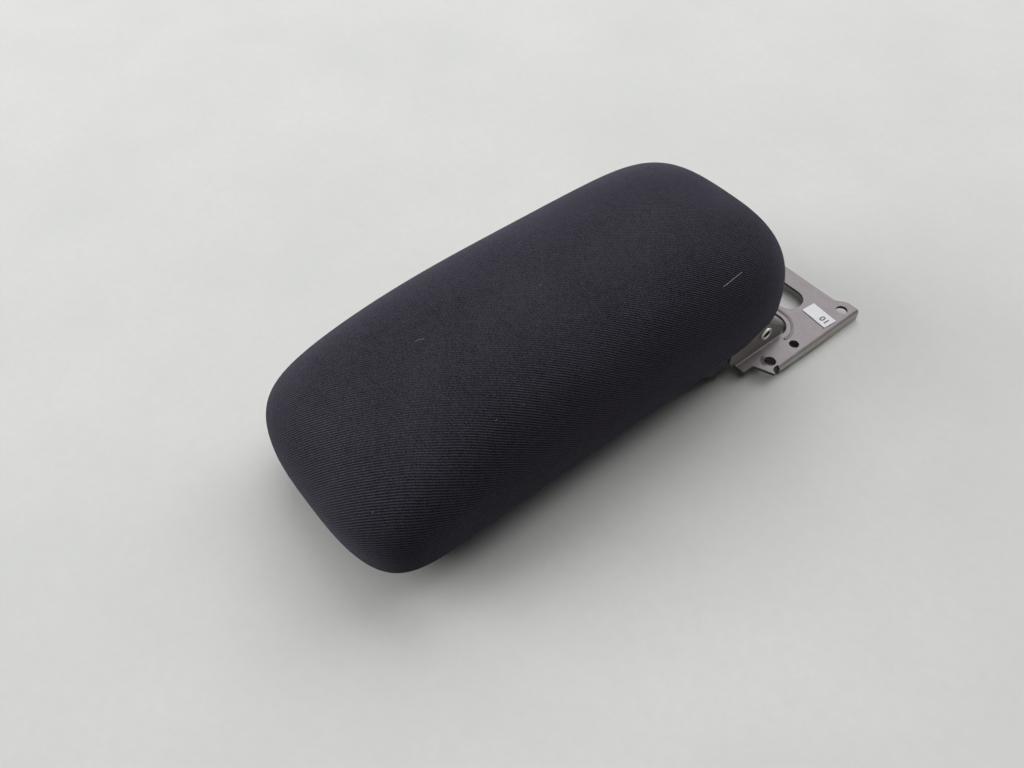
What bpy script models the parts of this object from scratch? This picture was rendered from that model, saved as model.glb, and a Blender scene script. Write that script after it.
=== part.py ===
"""Centre console armrest: a padded fabric lid pinned to a stamped steel hinge bracket.

Metres, +Z up. X is the width, -Y the front of the pad and +Y the bracket end.
The origin is under the middle of the whole part, on the surface it stands on.
"""
import math

import bmesh
import bpy
import numpy as np
from mathutils import Vector

# Clearances
FIT = 0.0003                  # between two pieces that touch
RUN = 0.0008                  # round what turns inside something else

# Pad, measured on the outside of the fabric
PAD_LENGTH = 0.310
PAD_WIDTH = 0.137
PAD_HEIGHT = 0.0706           # from the lower edge of the fabric to the crown
PAD_WAIST = 0.0045            # widest line above the lower edge
PAD_CROWN = 0.002             # fall of the crown towards each end
FRONT_CORNER_POWER = 14.2     # plan outline: the higher, the squarer the end
REAR_CORNER_POWER = 8.0
SIDE_POWER = 2.83
SECTION_POWER = 2.89          # squareness of the cross-section
FRONT_FALL_POWER = 2.57       # how early the top falls away at each end
REAR_FALL_POWER = 6.66
FALL_ROOT = 2.4

# Fabric, foam and carrier
FABRIC_THICKNESS = 0.0016
FABRIC_TUCK = 0.0042          # how far the fabric turns in under its lower edge
PAN_WALL = 0.0022
PAN_SHOULDER_INSET = 0.009    # top edge of the pan, in from the outline
PAN_TOP_RISE = 0.0263         # top of the pan above the fabric's lower edge
PAN_SKIRT_BREAK = 0.012       # height at which the pan's skirt starts to lean in

# Lower cover, a tapered tray that the part stands on with its rubber stops
TRAY_DEPTH = 0.024            # from the fabric's lower edge down to the tray's bottom
TRAY_WALL = 0.0022
TRAY_RIM_INSET = 0.0049
TRAY_RIM_HEIGHT = 0.002
TRAY_FLOOR_INSET = 0.0225
TRAY_REAR_POWER = 22.0
TRAY_REAR_LEAN = 0.75         # share of the side's lean that the rear wall has
TRAY_REAR_BLEND = 0.05        # length over which the lean changes
TRAY_UPRIGHT = 0.002          # straight part of the wall under the pad's edge
TRAY_ROUND = 0.0045           # height of the rounded lower edge
TRAY_TO_PRONG = 0.0022        # rear wall of the tray to the front of the bracket's ears
GUARD_THICKNESS = 0.003
GUARD_IN = 0.002              # outer face of the guard lugs, in from the hinge ears
GUARD_LENGTH = 0.021
GUARD_DROP = 0.021            # below the pad's edge
GUARD_SHAPE = ((1, 0.43, 0.14), (0.52, 0.71, 0.29), (0.29, 1, 0.057), (0.095, 0.9, 0.048),
               (0.07, 0.48, 0.095), (0, 0.29, 0.095))     # run, drop, corner as shares
STOP_PROUD = 0.002            # rubber stops below the tray
STOP_RADIUS = 0.007
STOP_STEM = 0.003
STOP_BARB = 0.003             # height of the barb inside the tray
STOP_IN = 0.0385              # in from the pad's widest line
STOP_FROM_FRONT = 0.043

# Hinge
HINGE_SETBACK = 0.0347        # hinge axis in front of the pad's rear end
AXIS_OVER_PLATE = 0.0125      # hinge axis above the bracket's top face
PIN_RADIUS = 0.0032
PIN_BORE = 0.0024
PIN_HEAD_RADIUS = 0.0045
PIN_HEAD_HEIGHT = 0.0012
PIN_ROLL = 0.0007             # roundness of the rolled heads
BUSH_WALL = 0.0010
BUSH_FLANGE_RADIUS = 0.007
BUSH_FLANGE = 0.0037
WASHER_RADIUS = 0.007
WASHER_THICKNESS = 0.0012
WAVE_SPACE = 0.0012           # room taken by the wave washer
WAVE_THICKNESS = 0.0004
WAVES = 3

# Bracket, stamped from sheet
SHEET = 0.002
BEND_INSIDE = 0.0005
EAR_BEND_INSIDE = 0.001
EAR_INSET = 0.0045            # outer face of the hinge ears, in from the pad's widest line
EAR_TOP_RADIUS = 0.0075
EAR_REAR_DROP = 0.0045        # rear corner of the ear below the axis
EAR_SHOULDER_RISE = 0.003     # start of the slope down to the ear's nose, above the axis
EAR_SHOULDER_RUN = 0.004
EAR_NOSE_DROP = 0.006
EAR_CHIN_DROP = 0.0098
EAR_CHIN_RUN = 0.0022
FLANGE_OUT = 0.018            # outer face of the side flanges, out from the ears
FLANGE_DEPTH = 0.008          # at the rear, where the bracket stands
FLANGE_FRONT_DEPTH = 0.0044
FLANGE_FOOT = 0.010           # length that stands on the surface
PRONG_OUT = 0.0067            # outer edge of the narrow front strips, out from the ears
PRONG_CORNER = 0.001
PRONG_FRONT = 0.0233          # distances in front of or behind the hinge axis
EAR_FRONT = 0.0295
EAR_REAR = 0.018
LUG_NECK = 0.0148
LUG_NECK_EASE = 0.0012
LUG_POINT_FRONT = 0.0092
LUG_POINT_OUT = 0.0011        # point of the front lug, out from the flange
LUG_BLUNT = 0.0007            # width of that point
LUG_RELIEF = 0.0052           # where its hollow edge leaves the bend
FLANGE_FRONT = 0.0032
REAR_EDGE = 0.0663
REAR_LUG_BULGE = 0.0048
REAR_CURVE_IN = 0.0165        # the curve out to the rear lug, in from the flange
REAR_CURVE_WIDTH = 0.0085
RELIEF_RADIUS = 0.0108
RELIEF_IN = 0.0098            # in from the ears
BEAD_OFFSET = 0.0037
BEAD_RADIUS = 0.0012
BEAD_SUNK = 0.0005
WINDOW_WIDTH = 0.0188
WINDOW_CENTRE = 0.0451
WINDOW_IN = 0.0080            # rounded end, in from the ears
WINDOW_CORNER = 0.004
WINDOW_BRIDGE = 0.016
BOLT_HOLE = 0.0036
LOCATING_HOLE = 0.0031
HOLE_IN = 0.0072              # in from the flange's outer face
FRONT_HOLE = -0.0043
LOCATING_PLACE = 0.0175
REAR_HOLE = 0.0628

# Paper label on the bracket
LABEL_SIZE = (0.0188, 0.0102)
LABEL_THICKNESS = 0.00015
LABEL_IN = 0.0130             # in from the flange's outer face
LABEL_BEHIND_AXIS = 0.0478
LABEL_TURN = math.radians(-5)

# Hinge frame inside the pad
ARM_LOBE = 0.008
FRAME_FRONT = 0.095
FRAME_REAR = 0.0025
FRAME_RISE = 0.0125           # top of the frame above the fabric's lower edge
FRAME_BEND_INSIDE = 0.001
FRAME_WINDOW = (0.030, 0.032)
FRAME_RIB = 0.011             # between the two windows
FRAME_CORNER = 0.005
ARM_HEEL_RISE = 0.0095        # rear corner of the arm above the axis
ARM_THROAT_RISE = 0.010
ARM_THROAT_RUN = 0.003
ARM_TOE_DEPTH = 0.0015        # front end of the arm below the frame's bend
ARM_TOE_RUN = 0.008
ARM_TOE_FALL = 0.002

# Screws
SCREW_RADIUS = 0.002
SCREW_HEAD_RADIUS = 0.0038
SCREW_HEAD = 0.0016
FRAME_SCREW_IN = 0.0117       # in from the arms
FRAME_SCREW_INSET = 0.012
BOSS_RADIUS = 0.0048
COVER_SCREW_IN = 0.0325       # in from the pad's widest line
COVER_SCREW_FRONT = 0.070     # in from the pad's front end
COVER_SCREW_REAR = 0.160
SHROUD_SCREW_IN = 0.0205      # in from the shroud's side
SHROUD_SCREW_BEHIND = 0.0205
SHROUD_THICKNESS = 0.002
COVER_PLUG = 0.012            # depth of thread in the pan's bosses
SHROUD_PLUG = 0.009
FRAME_PLUG = 0.008
NOTCH_HALF = 0.0115           # half-length of the notch in the pad's edge over each ear

# Smoothness
QUARTER_STEPS = 13
PAD_LEVELS = 10
HOLE_STEPS = 18
LAP = 0.001                   # how far pieces of one stamping run into each other

# Places worked out from the sizes above
PLATE_TOP = FLANGE_DEPTH
AXIS_Z = PLATE_TOP + AXIS_OVER_PLATE
PAD_BOTTOM = STOP_PROUD + TRAY_DEPTH
WAIST_Z = PAD_BOTTOM + PAD_WAIST
CROWN_Z = PAD_BOTTOM + PAD_HEIGHT
BRACKET_REACH = REAR_EDGE + REAR_LUG_BULGE - HINGE_SETBACK
OVERALL_LENGTH = PAD_LENGTH + BRACKET_REACH
PAD_FRONT_Y = -OVERALL_LENGTH / 2
PAD_REAR_Y = PAD_FRONT_Y + PAD_LENGTH
PAD_CENTRE_Y = PAD_FRONT_Y + PAD_LENGTH / 2
AXIS_Y = PAD_REAR_Y - HINGE_SETBACK
PAN_TOP_Z = PAD_BOTTOM + PAN_TOP_RISE
PAN_UNDER_Z = PAN_TOP_Z - PAN_WALL
FRAME_TOP_Z = PAD_BOTTOM + FRAME_RISE
FRAME_UNDER_Z = FRAME_TOP_Z - SHEET
EAR_SIDE = PAD_WIDTH / 2 - EAR_INSET
EAR_INNER = EAR_SIDE - SHEET
FLANGE_SIDE = EAR_SIDE + FLANGE_OUT
PRONG_SIDE = EAR_SIDE + PRONG_OUT
HOLE_X = FLANGE_SIDE - HOLE_IN
LABEL_X = FLANGE_SIDE - LABEL_IN
RELIEF_X = EAR_SIDE - RELIEF_IN
WINDOW_END = EAR_SIDE - WINDOW_IN
GUARD_SIDE = EAR_SIDE - GUARD_IN
STOP_X = PAD_WIDTH / 2 - STOP_IN
COVER_SCREW_X = PAD_WIDTH / 2 - COVER_SCREW_IN
BUSH_OUTER = PIN_RADIUS + FIT + BUSH_WALL
ARM_SIDE = EAR_INNER - FIT - BUSH_FLANGE - FIT
ARM_INNER = ARM_SIDE - SHEET
WAVE_FACE = ARM_INNER - RUN
WASHER_FACE = WAVE_FACE - WAVE_SPACE - FIT
PIN_END_FACE = WASHER_FACE - WASHER_THICKNESS - FIT
SHROUD_HALF_WIDTH = PIN_END_FACE - PIN_HEAD_HEIGHT - FIT
SHROUD_SCREW_X = SHROUD_HALF_WIDTH - SHROUD_SCREW_IN
FRAME_SCREW_X = ARM_INNER - FRAME_SCREW_IN
FRAME_WINDOW_X = (FRAME_RIB + FRAME_WINDOW[0]) / 2
TRAY_REAR_Y = AXIS_Y - EAR_FRONT - TRAY_TO_PRONG
TRAY_FLOOR_Z = STOP_PROUD
TRAY_INNER_FLOOR = TRAY_FLOOR_Z + TRAY_WALL
NOTCH_TOP_Z = AXIS_Z + EAR_TOP_RADIUS + RUN
SIDES = {"left": 1, "right": -1}

COLOURS = {
    "fabric": ((0.020, 0.019, 0.026), 0.95, 0.0),
    "foam": ((0.62, 0.56, 0.38), 0.95, 0.0),
    "black_plastic": ((0.012, 0.012, 0.013), 0.55, 0.0),
    "grey_plastic": ((0.10, 0.10, 0.10), 0.6, 0.0),
    "bracket_steel": ((0.27, 0.235, 0.245), 0.42, 0.85),
    "frame_steel": ((0.30, 0.30, 0.30), 0.45, 0.85),
    "bright_steel": ((0.62, 0.61, 0.60), 0.25, 1.0),
    "screw_steel": ((0.35, 0.33, 0.28), 0.4, 1.0),
    "nylon": ((0.70, 0.69, 0.64), 0.5, 0.0),
    "rubber": ((0.015, 0.015, 0.015), 0.8, 0.0),
    "paper": ((0.80, 0.79, 0.80), 0.7, 0.0),
}


def clear_scene():
    for old in list(bpy.data.objects):
        bpy.data.objects.remove(old, do_unlink=True)


def make_collection(name):
    group = bpy.data.collections.get(name) or bpy.data.collections.new(name)
    if name not in bpy.context.scene.collection.children:
        bpy.context.scene.collection.children.link(group)
    return group


def material(piece, finish):
    """A material of the piece's own in one of the finishes."""
    colour, roughness, metallic = COLOURS[finish]
    made = bpy.data.materials.new(piece + "_" + finish)
    made.use_nodes = True
    shader = made.node_tree.nodes["Principled BSDF"]
    shader.inputs["Base Color"].default_value = (*colour, 1.0)
    shader.inputs["Roughness"].default_value = roughness
    shader.inputs["Metallic"].default_value = metallic
    made.diffuse_color = (*colour, 1.0)
    return made


def publish(obj, name, finish, parent=None, smooth=True):
    """Name a finished object, give it its material and hang it on its parent."""
    obj.name = name
    obj.data.name = name
    obj.data.materials.clear()
    obj.data.materials.append(material(name, finish))
    if smooth:
        obj.data.shade_smooth()
        obj.data.set_sharp_from_angle(angle=math.radians(35))
    for group in list(obj.users_collection):
        group.objects.unlink(obj)
    parts.objects.link(obj)
    if parent is not None:
        obj.parent = parent
        obj.matrix_parent_inverse = parent.matrix_world.inverted()
    return obj


def as_helper(obj):
    """Keep an object as a tool for a Boolean, out of the model."""
    for group in list(obj.users_collection):
        group.objects.unlink(obj)
    helpers.objects.link(obj)
    obj.hide_render = True
    obj.display_type = "WIRE"
    return obj


def boolean(target, tool, operation):
    step = target.modifiers.new(operation.lower(), "BOOLEAN")
    step.operation = operation
    step.solver = "EXACT"
    step.object = as_helper(tool)
    return target


def fuse(target, *tools):
    for tool in tools:
        boolean(target, tool, "UNION")
    return target


def cut(target, *tools):
    for tool in tools:
        boolean(target, tool, "DIFFERENCE")
    return target


def object_from_bmesh(shape, name):
    bmesh.ops.recalc_face_normals(shape, faces=shape.faces)
    mesh = bpy.data.meshes.new(name)
    shape.to_mesh(mesh)
    shape.free()
    obj = bpy.data.objects.new(name, mesh)
    helpers.objects.link(obj)
    return obj


def frozen(obj):
    """The object as the viewport evaluates it, as one plain mesh object."""
    bpy.context.view_layer.update()
    graph = bpy.context.evaluated_depsgraph_get()
    mesh = bpy.data.meshes.new_from_object(obj.evaluated_get(graph))
    shape = bmesh.new()
    shape.from_mesh(mesh)
    bmesh.ops.remove_doubles(shape, verts=shape.verts, dist=1e-6)
    bmesh.ops.recalc_face_normals(shape, faces=shape.faces)
    shape.to_mesh(mesh)
    shape.free()
    plain = bpy.data.objects.new(obj.name, mesh)
    plain.matrix_world = obj.matrix_world
    helpers.objects.link(plain)
    bpy.data.objects.remove(obj, do_unlink=True)
    return plain


def flat_solid(name, loops, thickness, place=(0, 0, 0), turn=(0, 0, 0)):
    """A closed outline with holes in its own XY plane, thickened both ways."""
    curve = bpy.data.curves.new(name, "CURVE")
    curve.dimensions = "2D"
    curve.fill_mode = "BOTH"
    curve.extrude = thickness / 2
    for loop in loops:
        spline = curve.splines.new("POLY")
        spline.points.add(len(loop) - 1)
        for point, (x, y) in zip(spline.points, loop):
            point.co = (x, y, 0, 1)
        spline.use_cyclic_u = True
    obj = bpy.data.objects.new(name, curve)
    obj.location = place
    obj.rotation_euler = turn
    helpers.objects.link(obj)
    return frozen(obj)


def side_solid(name, loops, x_low, x_high):
    """Outlines given as (y, z), spread between two planes across the width."""
    place = ((x_low + x_high) / 2, 0, 0)
    return flat_solid(name, loops, x_high - x_low, place, (math.pi / 2, 0, math.pi / 2))


def length_solid(name, loops, y_low, y_high):
    """Outlines given as (x, z), spread between two planes along the length."""
    place = (0, (y_low + y_high) / 2, 0)
    return flat_solid(name, loops, y_high - y_low, place, (math.pi / 2, 0, 0))


def level_solid(name, loops, z_low, z_high):
    """Outlines given as (x, y), spread between two heights."""
    return flat_solid(name, loops, z_high - z_low, (0, 0, (z_low + z_high) / 2))


def arc(cx, cy, radius, start, end, steps):
    """Points on an arc, angles in degrees."""
    angles = [math.radians(start + (end - start) * i / steps) for i in range(steps + 1)]
    return [(cx + radius * math.cos(a), cy + radius * math.sin(a)) for a in angles]


def circle(cx, cy, radius, steps=HOLE_STEPS):
    return arc(cx, cy, radius, 0, 360, steps)[:-1]


def rounded(corners, radius, steps=4):
    """A polygon with each corner rounded; radius may be a list, one for each corner."""
    points = []
    count = len(corners)
    radii = radius if isinstance(radius, (list, tuple)) else [radius] * count
    for i, (corner, r) in enumerate(zip(corners, radii)):
        here = Vector(corner)
        back = (Vector(corners[i - 1]) - here).normalized()
        ahead = (Vector(corners[(i + 1) % count]) - here).normalized()
        if r <= 0:
            points.append(tuple(here))
            continue
        half = back.angle(ahead) / 2
        reach = r / math.tan(half)
        centre = here + (back + ahead).normalized() * (r / math.sin(half))
        first = here + back * reach - centre
        last = here + ahead * reach - centre
        start = math.degrees(math.atan2(first.y, first.x))
        sweep = (math.degrees(math.atan2(last.y, last.x)) - start + 180) % 360 - 180
        points += arc(centre.x, centre.y, r, start, start + sweep, steps)
    return points


def mirrored(half):
    """A half outline that starts and ends on x = 0, completed on the other side."""
    other = [(-x, y) for x, y in reversed(half) if x > 1e-9]
    return list(half) + other


def turned(name, profile, steps=HOLE_STEPS, closed=True):
    """Revolve a profile of (radius, height) points round the object's own Z axis."""
    mesh = bpy.data.meshes.new(name)
    points = [(r, 0, z) for r, z in profile]
    links = [(i, i + 1) for i in range(len(points) - 1)]
    if closed:
        links.append((len(points) - 1, 0))
    mesh.from_pydata(points, links, [])
    obj = bpy.data.objects.new(name, mesh)
    helpers.objects.link(obj)
    screw = obj.modifiers.new("turn", "SCREW")
    screw.steps = steps
    screw.render_steps = steps
    screw.use_merge_vertices = True
    screw.merge_threshold = 1e-6
    screw.use_smooth_shade = True
    return frozen(obj)


def post(name, x, y, z_low, z_high, radius, steps=HOLE_STEPS):
    """A plain upright cylinder."""
    shape = bmesh.new()
    bmesh.ops.create_cone(shape, cap_ends=True, segments=steps, radius1=radius,
                          radius2=radius, depth=z_high - z_low)
    obj = object_from_bmesh(shape, name)
    obj.location = (x, y, (z_low + z_high) / 2)
    return obj


def quarter_angles(half_width, reach, end_power):
    """Parameters along a quarter of the plan outline, closer together in its corner."""
    share = np.linspace(0, 1, 600)
    from_length = np.arccos(share ** (end_power / 2))
    from_width = np.arcsin(share ** (SIDE_POWER / 2))
    a = np.unique(np.concatenate([from_length, from_width]))
    x = half_width * np.sin(a) ** (2 / SIDE_POWER)
    y = reach * np.cos(a) ** (2 / end_power)
    step = np.hypot(np.diff(x), np.diff(y))
    heading = np.unwrap(np.arctan2(np.diff(y), np.diff(x)))
    turn = np.abs(np.diff(heading, prepend=heading[0]))
    corner_weight = 0.04
    measure = np.concatenate([[0], np.cumsum(step + corner_weight * turn)])
    return np.interp(np.linspace(0, measure[-1], QUARTER_STEPS + 1), measure, a)


class Plan:
    """The pad's outline seen from above, and the outlines that run inside it."""

    def __init__(self, rear_reach=PAD_LENGTH / 2, rear_power=REAR_CORNER_POWER):
        self.front_reach = PAD_LENGTH / 2
        self.rear_reach = rear_reach
        self.rear_power = rear_power
        self.front = quarter_angles(PAD_WIDTH / 2, self.front_reach, FRONT_CORNER_POWER)
        self.rear = quarter_angles(PAD_WIDTH / 2, rear_reach, rear_power)

    def ring(self, inset=0.0, scale=1.0):
        """Points (x, y) anticlockwise from the middle of the left side, y from the pad centre."""
        half = PAD_WIDTH / 2 - inset
        front = self.front_reach - inset
        rear = self.rear_reach - inset
        quarter_rear = [(half * math.sin(a) ** (2 / SIDE_POWER),
                         rear * max(math.cos(a), 0) ** (2 / self.rear_power))
                        for a in self.rear[::-1]]
        quarter_front = [(half * math.sin(a) ** (2 / SIDE_POWER),
                          -front * max(math.cos(a), 0) ** (2 / FRONT_CORNER_POWER))
                         for a in self.front]
        right_rear = [(-x, y) for x, y in reversed(quarter_rear)]
        right_front = [(-x, y) for x, y in reversed(quarter_front)]
        points = quarter_rear[:-1] + right_rear[:-1] + right_front[:-1] + quarter_front[:-1]
        return [(x * scale, y * scale) for x, y in points]


def pad_height_at(x, y):
    """Height of the fabric's outer face over a point (x, y) of the plan."""
    reach = PAD_LENGTH / 2
    t = min(abs(y) / reach, 1.0)
    front = y < 0
    corner = FRONT_CORNER_POWER if front else REAR_CORNER_POWER
    fall = FRONT_FALL_POWER if front else REAR_FALL_POWER
    half = PAD_WIDTH / 2 * max(1 - t ** corner, 0) ** (1 / SIDE_POWER)
    across = min(abs(x) / half, 1.0) if half > 1e-9 else 1.0
    rise = (CROWN_Z - PAD_CROWN * t * t - WAIST_Z) * max(1 - t ** fall, 0) ** (1 / FALL_ROOT)
    return WAIST_Z + rise * max(1 - across ** SECTION_POWER, 0) ** (1 / SECTION_POWER)


def loft(name, rings, apex=None, cap_first=False, cap_last=False):
    """Skin a stack of rings that have the same number of points."""
    shape = bmesh.new()
    rows = [[shape.verts.new(p) for p in ring] for ring in rings]
    for low, high in zip(rows, rows[1:]):
        for i in range(len(low)):
            j = (i + 1) % len(low)
            shape.faces.new((low[i], low[j], high[j], high[i]))
    if apex is not None:
        top = shape.verts.new(apex)
        last = rows[-1]
        for i in range(len(last)):
            shape.faces.new((last[i], last[(i + 1) % len(last)], top))
    if cap_first:
        shape.faces.new(rows[0])
    if cap_last:
        shape.faces.new(rows[-1])
    return object_from_bmesh(shape, name)


def thicken(obj, thickness, offset):
    wall = obj.modifiers.new("wall", "SOLIDIFY")
    wall.thickness = thickness
    wall.offset = offset
    wall.use_even_offset = True
    return obj


def at_pad(ring, z):
    """Lift plan points to a height, in the part's own frame."""
    return [(x, y + PAD_CENTRE_Y, z) for x, y in ring]


def crown_rings(plan):
    """Rings of the pad's upper face, from its waist to close to the crown."""
    rings = []
    for k in range(PAD_LEVELS):
        scale = math.cos(math.pi / 2 * k / PAD_LEVELS) ** (2 / SECTION_POWER)
        ring = plan.ring(scale=scale)
        rings.append([(x, y + PAD_CENTRE_Y, pad_height_at(x, y)) for x, y in ring])
    return rings


def fabric_surface(name, plan):
    """Outer face of the fabric, from the edge tucked under the pan to the crown."""
    hem = [(FABRIC_TUCK, 0.0), (FABRIC_TUCK * 0.6, 0.0), (FABRIC_TUCK * 0.3, PAD_WAIST * 0.18),
           (FABRIC_TUCK * 0.1, PAD_WAIST * 0.5)]
    rings = [at_pad(plan.ring(inset), PAD_BOTTOM + rise) for inset, rise in hem]
    rings += crown_rings(plan)
    return loft(name, rings, apex=(0, PAD_CENTRE_Y, pad_height_at(0, 0)))


def build_fabric_cover(plan, parent):
    cover = fabric_surface("fabric_cover", plan)
    thicken(cover, FABRIC_THICKNESS, -1)
    cut(cover, *hinge_notches())
    return publish(cover, "fabric_cover", "fabric", parent)


def build_foam_pad(plan, parent):
    """The block of foam between the pan and the fabric."""
    inset = FABRIC_THICKNESS + FIT
    skin = loft("foam_pad", crown_rings(plan), apex=(0, PAD_CENTRE_Y, CROWN_Z), cap_first=True)
    shape = bmesh.new()
    shape.from_mesh(skin.data)
    bmesh.ops.recalc_face_normals(shape, faces=shape.faces)
    shape.normal_update()
    for vert in shape.verts:
        if vert.co.z > WAIST_Z + PAD_WAIST:
            vert.co -= vert.normal * inset
        else:
            vert.co.x *= 1 - inset / (PAD_WIDTH / 2)
            vert.co.y -= math.copysign(inset, vert.co.y - PAD_CENTRE_Y)
    shape.to_mesh(skin.data)
    shape.free()
    keep = PAN_TOP_Z + FIT
    room = (PAD_WIDTH, PAD_LENGTH / 2 + PAD_WIDTH)
    corners = [(-room[0], PAD_CENTRE_Y - room[1]), (room[0], PAD_CENTRE_Y - room[1]),
               (room[0], PAD_CENTRE_Y + room[1]), (-room[0], PAD_CENTRE_Y + room[1])]
    below = level_solid("below_foam", [corners], PAD_BOTTOM - PAD_HEIGHT, keep)
    cut(skin, below)
    return publish(skin, "foam_pad", "foam", parent)


def boss(name, x, y, z_low, plug_depth):
    """A moulded screw boss that hangs from the pan."""
    body = post(name, x, y, z_low, PAN_UNDER_Z + PAN_WALL / 2, BOSS_RADIUS)
    bore = post(name + "_bore", x, y, z_low - FIT, z_low + plug_depth, SCREW_RADIUS + FIT)
    return body, bore


def cover_screw_places():
    rows = (PAD_FRONT_Y + COVER_SCREW_FRONT, PAD_FRONT_Y + COVER_SCREW_REAR)
    return [(side * COVER_SCREW_X, y) for side in SIDES.values() for y in rows]


def shroud_screw_places():
    return [(side * SHROUD_SCREW_X, AXIS_Y + SHROUD_SCREW_BEHIND) for side in SIDES.values()]


def frame_screw_places():
    rows = (AXIS_Y - FRAME_FRONT + FRAME_SCREW_INSET, AXIS_Y + FRAME_REAR - FRAME_SCREW_INSET)
    return [(side * FRAME_SCREW_X, y) for side in SIDES.values() for y in rows]


def hinge_notches():
    """Cutters for the pad's lower edge, where the bracket's ears pass up inside it."""
    outer = PAD_WIDTH / 2 + FIT
    notches = []
    for side in SIDES.values():
        inner = ARM_INNER - FIT
        corners = [(side * inner, AXIS_Y - NOTCH_HALF), (side * outer, AXIS_Y - NOTCH_HALF),
                   (side * outer, AXIS_Y + NOTCH_HALF), (side * inner, AXIS_Y + NOTCH_HALF)]
        notches.append(level_solid("hinge_notch", [corners], PLATE_TOP, NOTCH_TOP_Z))
    return notches


def build_carrier_pan(plan, parent):
    """The moulded pan under the foam, with its skirt and screw bosses."""
    gap = FABRIC_THICKNESS + FIT
    low = PAD_BOTTOM + gap
    edge = PAN_WALL
    levels = [(gap + FIT * 5, low), (gap + FIT * 2, WAIST_Z),
              (gap + FIT * 3, PAD_BOTTOM + PAN_SKIRT_BREAK),
              (PAN_SHOULDER_INSET - edge / 2, PAN_TOP_Z - edge),
              (PAN_SHOULDER_INSET, PAN_TOP_Z - edge / 3),
              (PAN_SHOULDER_INSET + edge, PAN_TOP_Z)]
    rings = [at_pad(plan.ring(inset), z) for inset, z in levels]
    pan = loft("carrier_pan", rings, cap_last=True)
    thicken(pan, PAN_WALL, -1)
    bores = []
    sets = [(cover_screw_places(), TRAY_INNER_FLOOR, COVER_PLUG),
            (shroud_screw_places(), PAD_BOTTOM + SHROUD_THICKNESS, SHROUD_PLUG),
            (frame_screw_places(), FRAME_TOP_Z, FRAME_PLUG)]
    for places, seat, plug in sets:
        for x, y in places:
            body, bore = boss("boss", x, y, seat + FIT, plug)
            fuse(pan, body)
            bores.append(bore)
    cut(pan, *bores)
    cut(pan, *hinge_notches())
    return publish(pan, "carrier_pan", "grey_plastic", parent)


def guard_outline():
    """Side view of the small hooked lug at each rear corner of the tray."""
    top = PAD_BOTTOM + TRAY_RIM_HEIGHT / 2
    corners = [(TRAY_REAR_Y - GUARD_LENGTH, top)]
    radii = [0]
    for run, drop, corner in GUARD_SHAPE:
        corners.append((TRAY_REAR_Y - run * GUARD_LENGTH, PAD_BOTTOM - drop * GUARD_DROP))
        radii.append(corner * GUARD_DROP)
    return rounded(corners + [(TRAY_REAR_Y, top)], radii + [0], 3)


def build_lower_cover(parent):
    """The black tray that closes the underside in front of the hinge."""
    plan = Plan(TRAY_REAR_Y - PAD_CENTRE_Y + TRAY_RIM_INSET, TRAY_REAR_POWER)
    floor = TRAY_FLOOR_Z
    levels = [(TRAY_RIM_INSET, PAD_BOTTOM + TRAY_RIM_HEIGHT),
              (TRAY_RIM_INSET, PAD_BOTTOM - TRAY_UPRIGHT),
              (TRAY_FLOOR_INSET - TRAY_ROUND * 0.9, floor + TRAY_ROUND),
              (TRAY_FLOOR_INSET - TRAY_ROUND / 3, floor + TRAY_ROUND / 3),
              (TRAY_FLOOR_INSET + TRAY_ROUND * 0.45, floor)]
    rings = []
    for inset, z in levels:
        lean = (inset - TRAY_RIM_INSET) * TRAY_REAR_LEAN
        rings.append([(x, y + PAD_CENTRE_Y + lean * min(max(y / TRAY_REAR_BLEND, 0), 1), z)
                      for x, y in plan.ring(inset)])
    tray = loft("lower_cover", rings, cap_last=True)
    thicken(tray, TRAY_WALL, -1)
    for side in SIDES.values():
        x_low, x_high = sorted((side * GUARD_SIDE, side * (GUARD_SIDE - GUARD_THICKNESS)))
        fuse(tray, side_solid("guard", [guard_outline()], x_low, x_high))
    holes = [post("cover_screw_hole", x, y, floor - TRAY_WALL, TRAY_INNER_FLOOR + TRAY_WALL,
                  SCREW_RADIUS + FIT) for x, y in cover_screw_places()]
    holes += [post("stop_hole", side * STOP_X, PAD_FRONT_Y + STOP_FROM_FRONT, floor - TRAY_WALL,
                   TRAY_INNER_FLOOR + TRAY_WALL, STOP_STEM + FIT) for side in SIDES.values()]
    cut(tray, *holes)
    return publish(tray, "lower_cover", "black_plastic", parent)


def build_rubber_stop(side_name, side, parent):
    """A mushroom stop pushed into the tray from below."""
    head_top = STOP_PROUD - FIT
    barb_low = TRAY_INNER_FLOOR + FIT
    barb_top = barb_low + STOP_BARB
    barb = STOP_STEM * 1.4
    profile = [(0, 0), (STOP_RADIUS * 0.75, 0), (STOP_RADIUS * 0.95, head_top * 0.3),
               (STOP_RADIUS, head_top), (STOP_STEM, head_top), (STOP_STEM, barb_low),
               (barb, barb_low), (barb, barb_low + STOP_BARB / 4), (STOP_STEM * 0.6, barb_top),
               (0, barb_top)]
    stop = turned("rubber_stop", profile, closed=False)
    stop.location = (side * STOP_X, PAD_FRONT_Y + STOP_FROM_FRONT, 0)
    return publish(stop, "rubber_stop_" + side_name, "rubber", parent)


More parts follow.
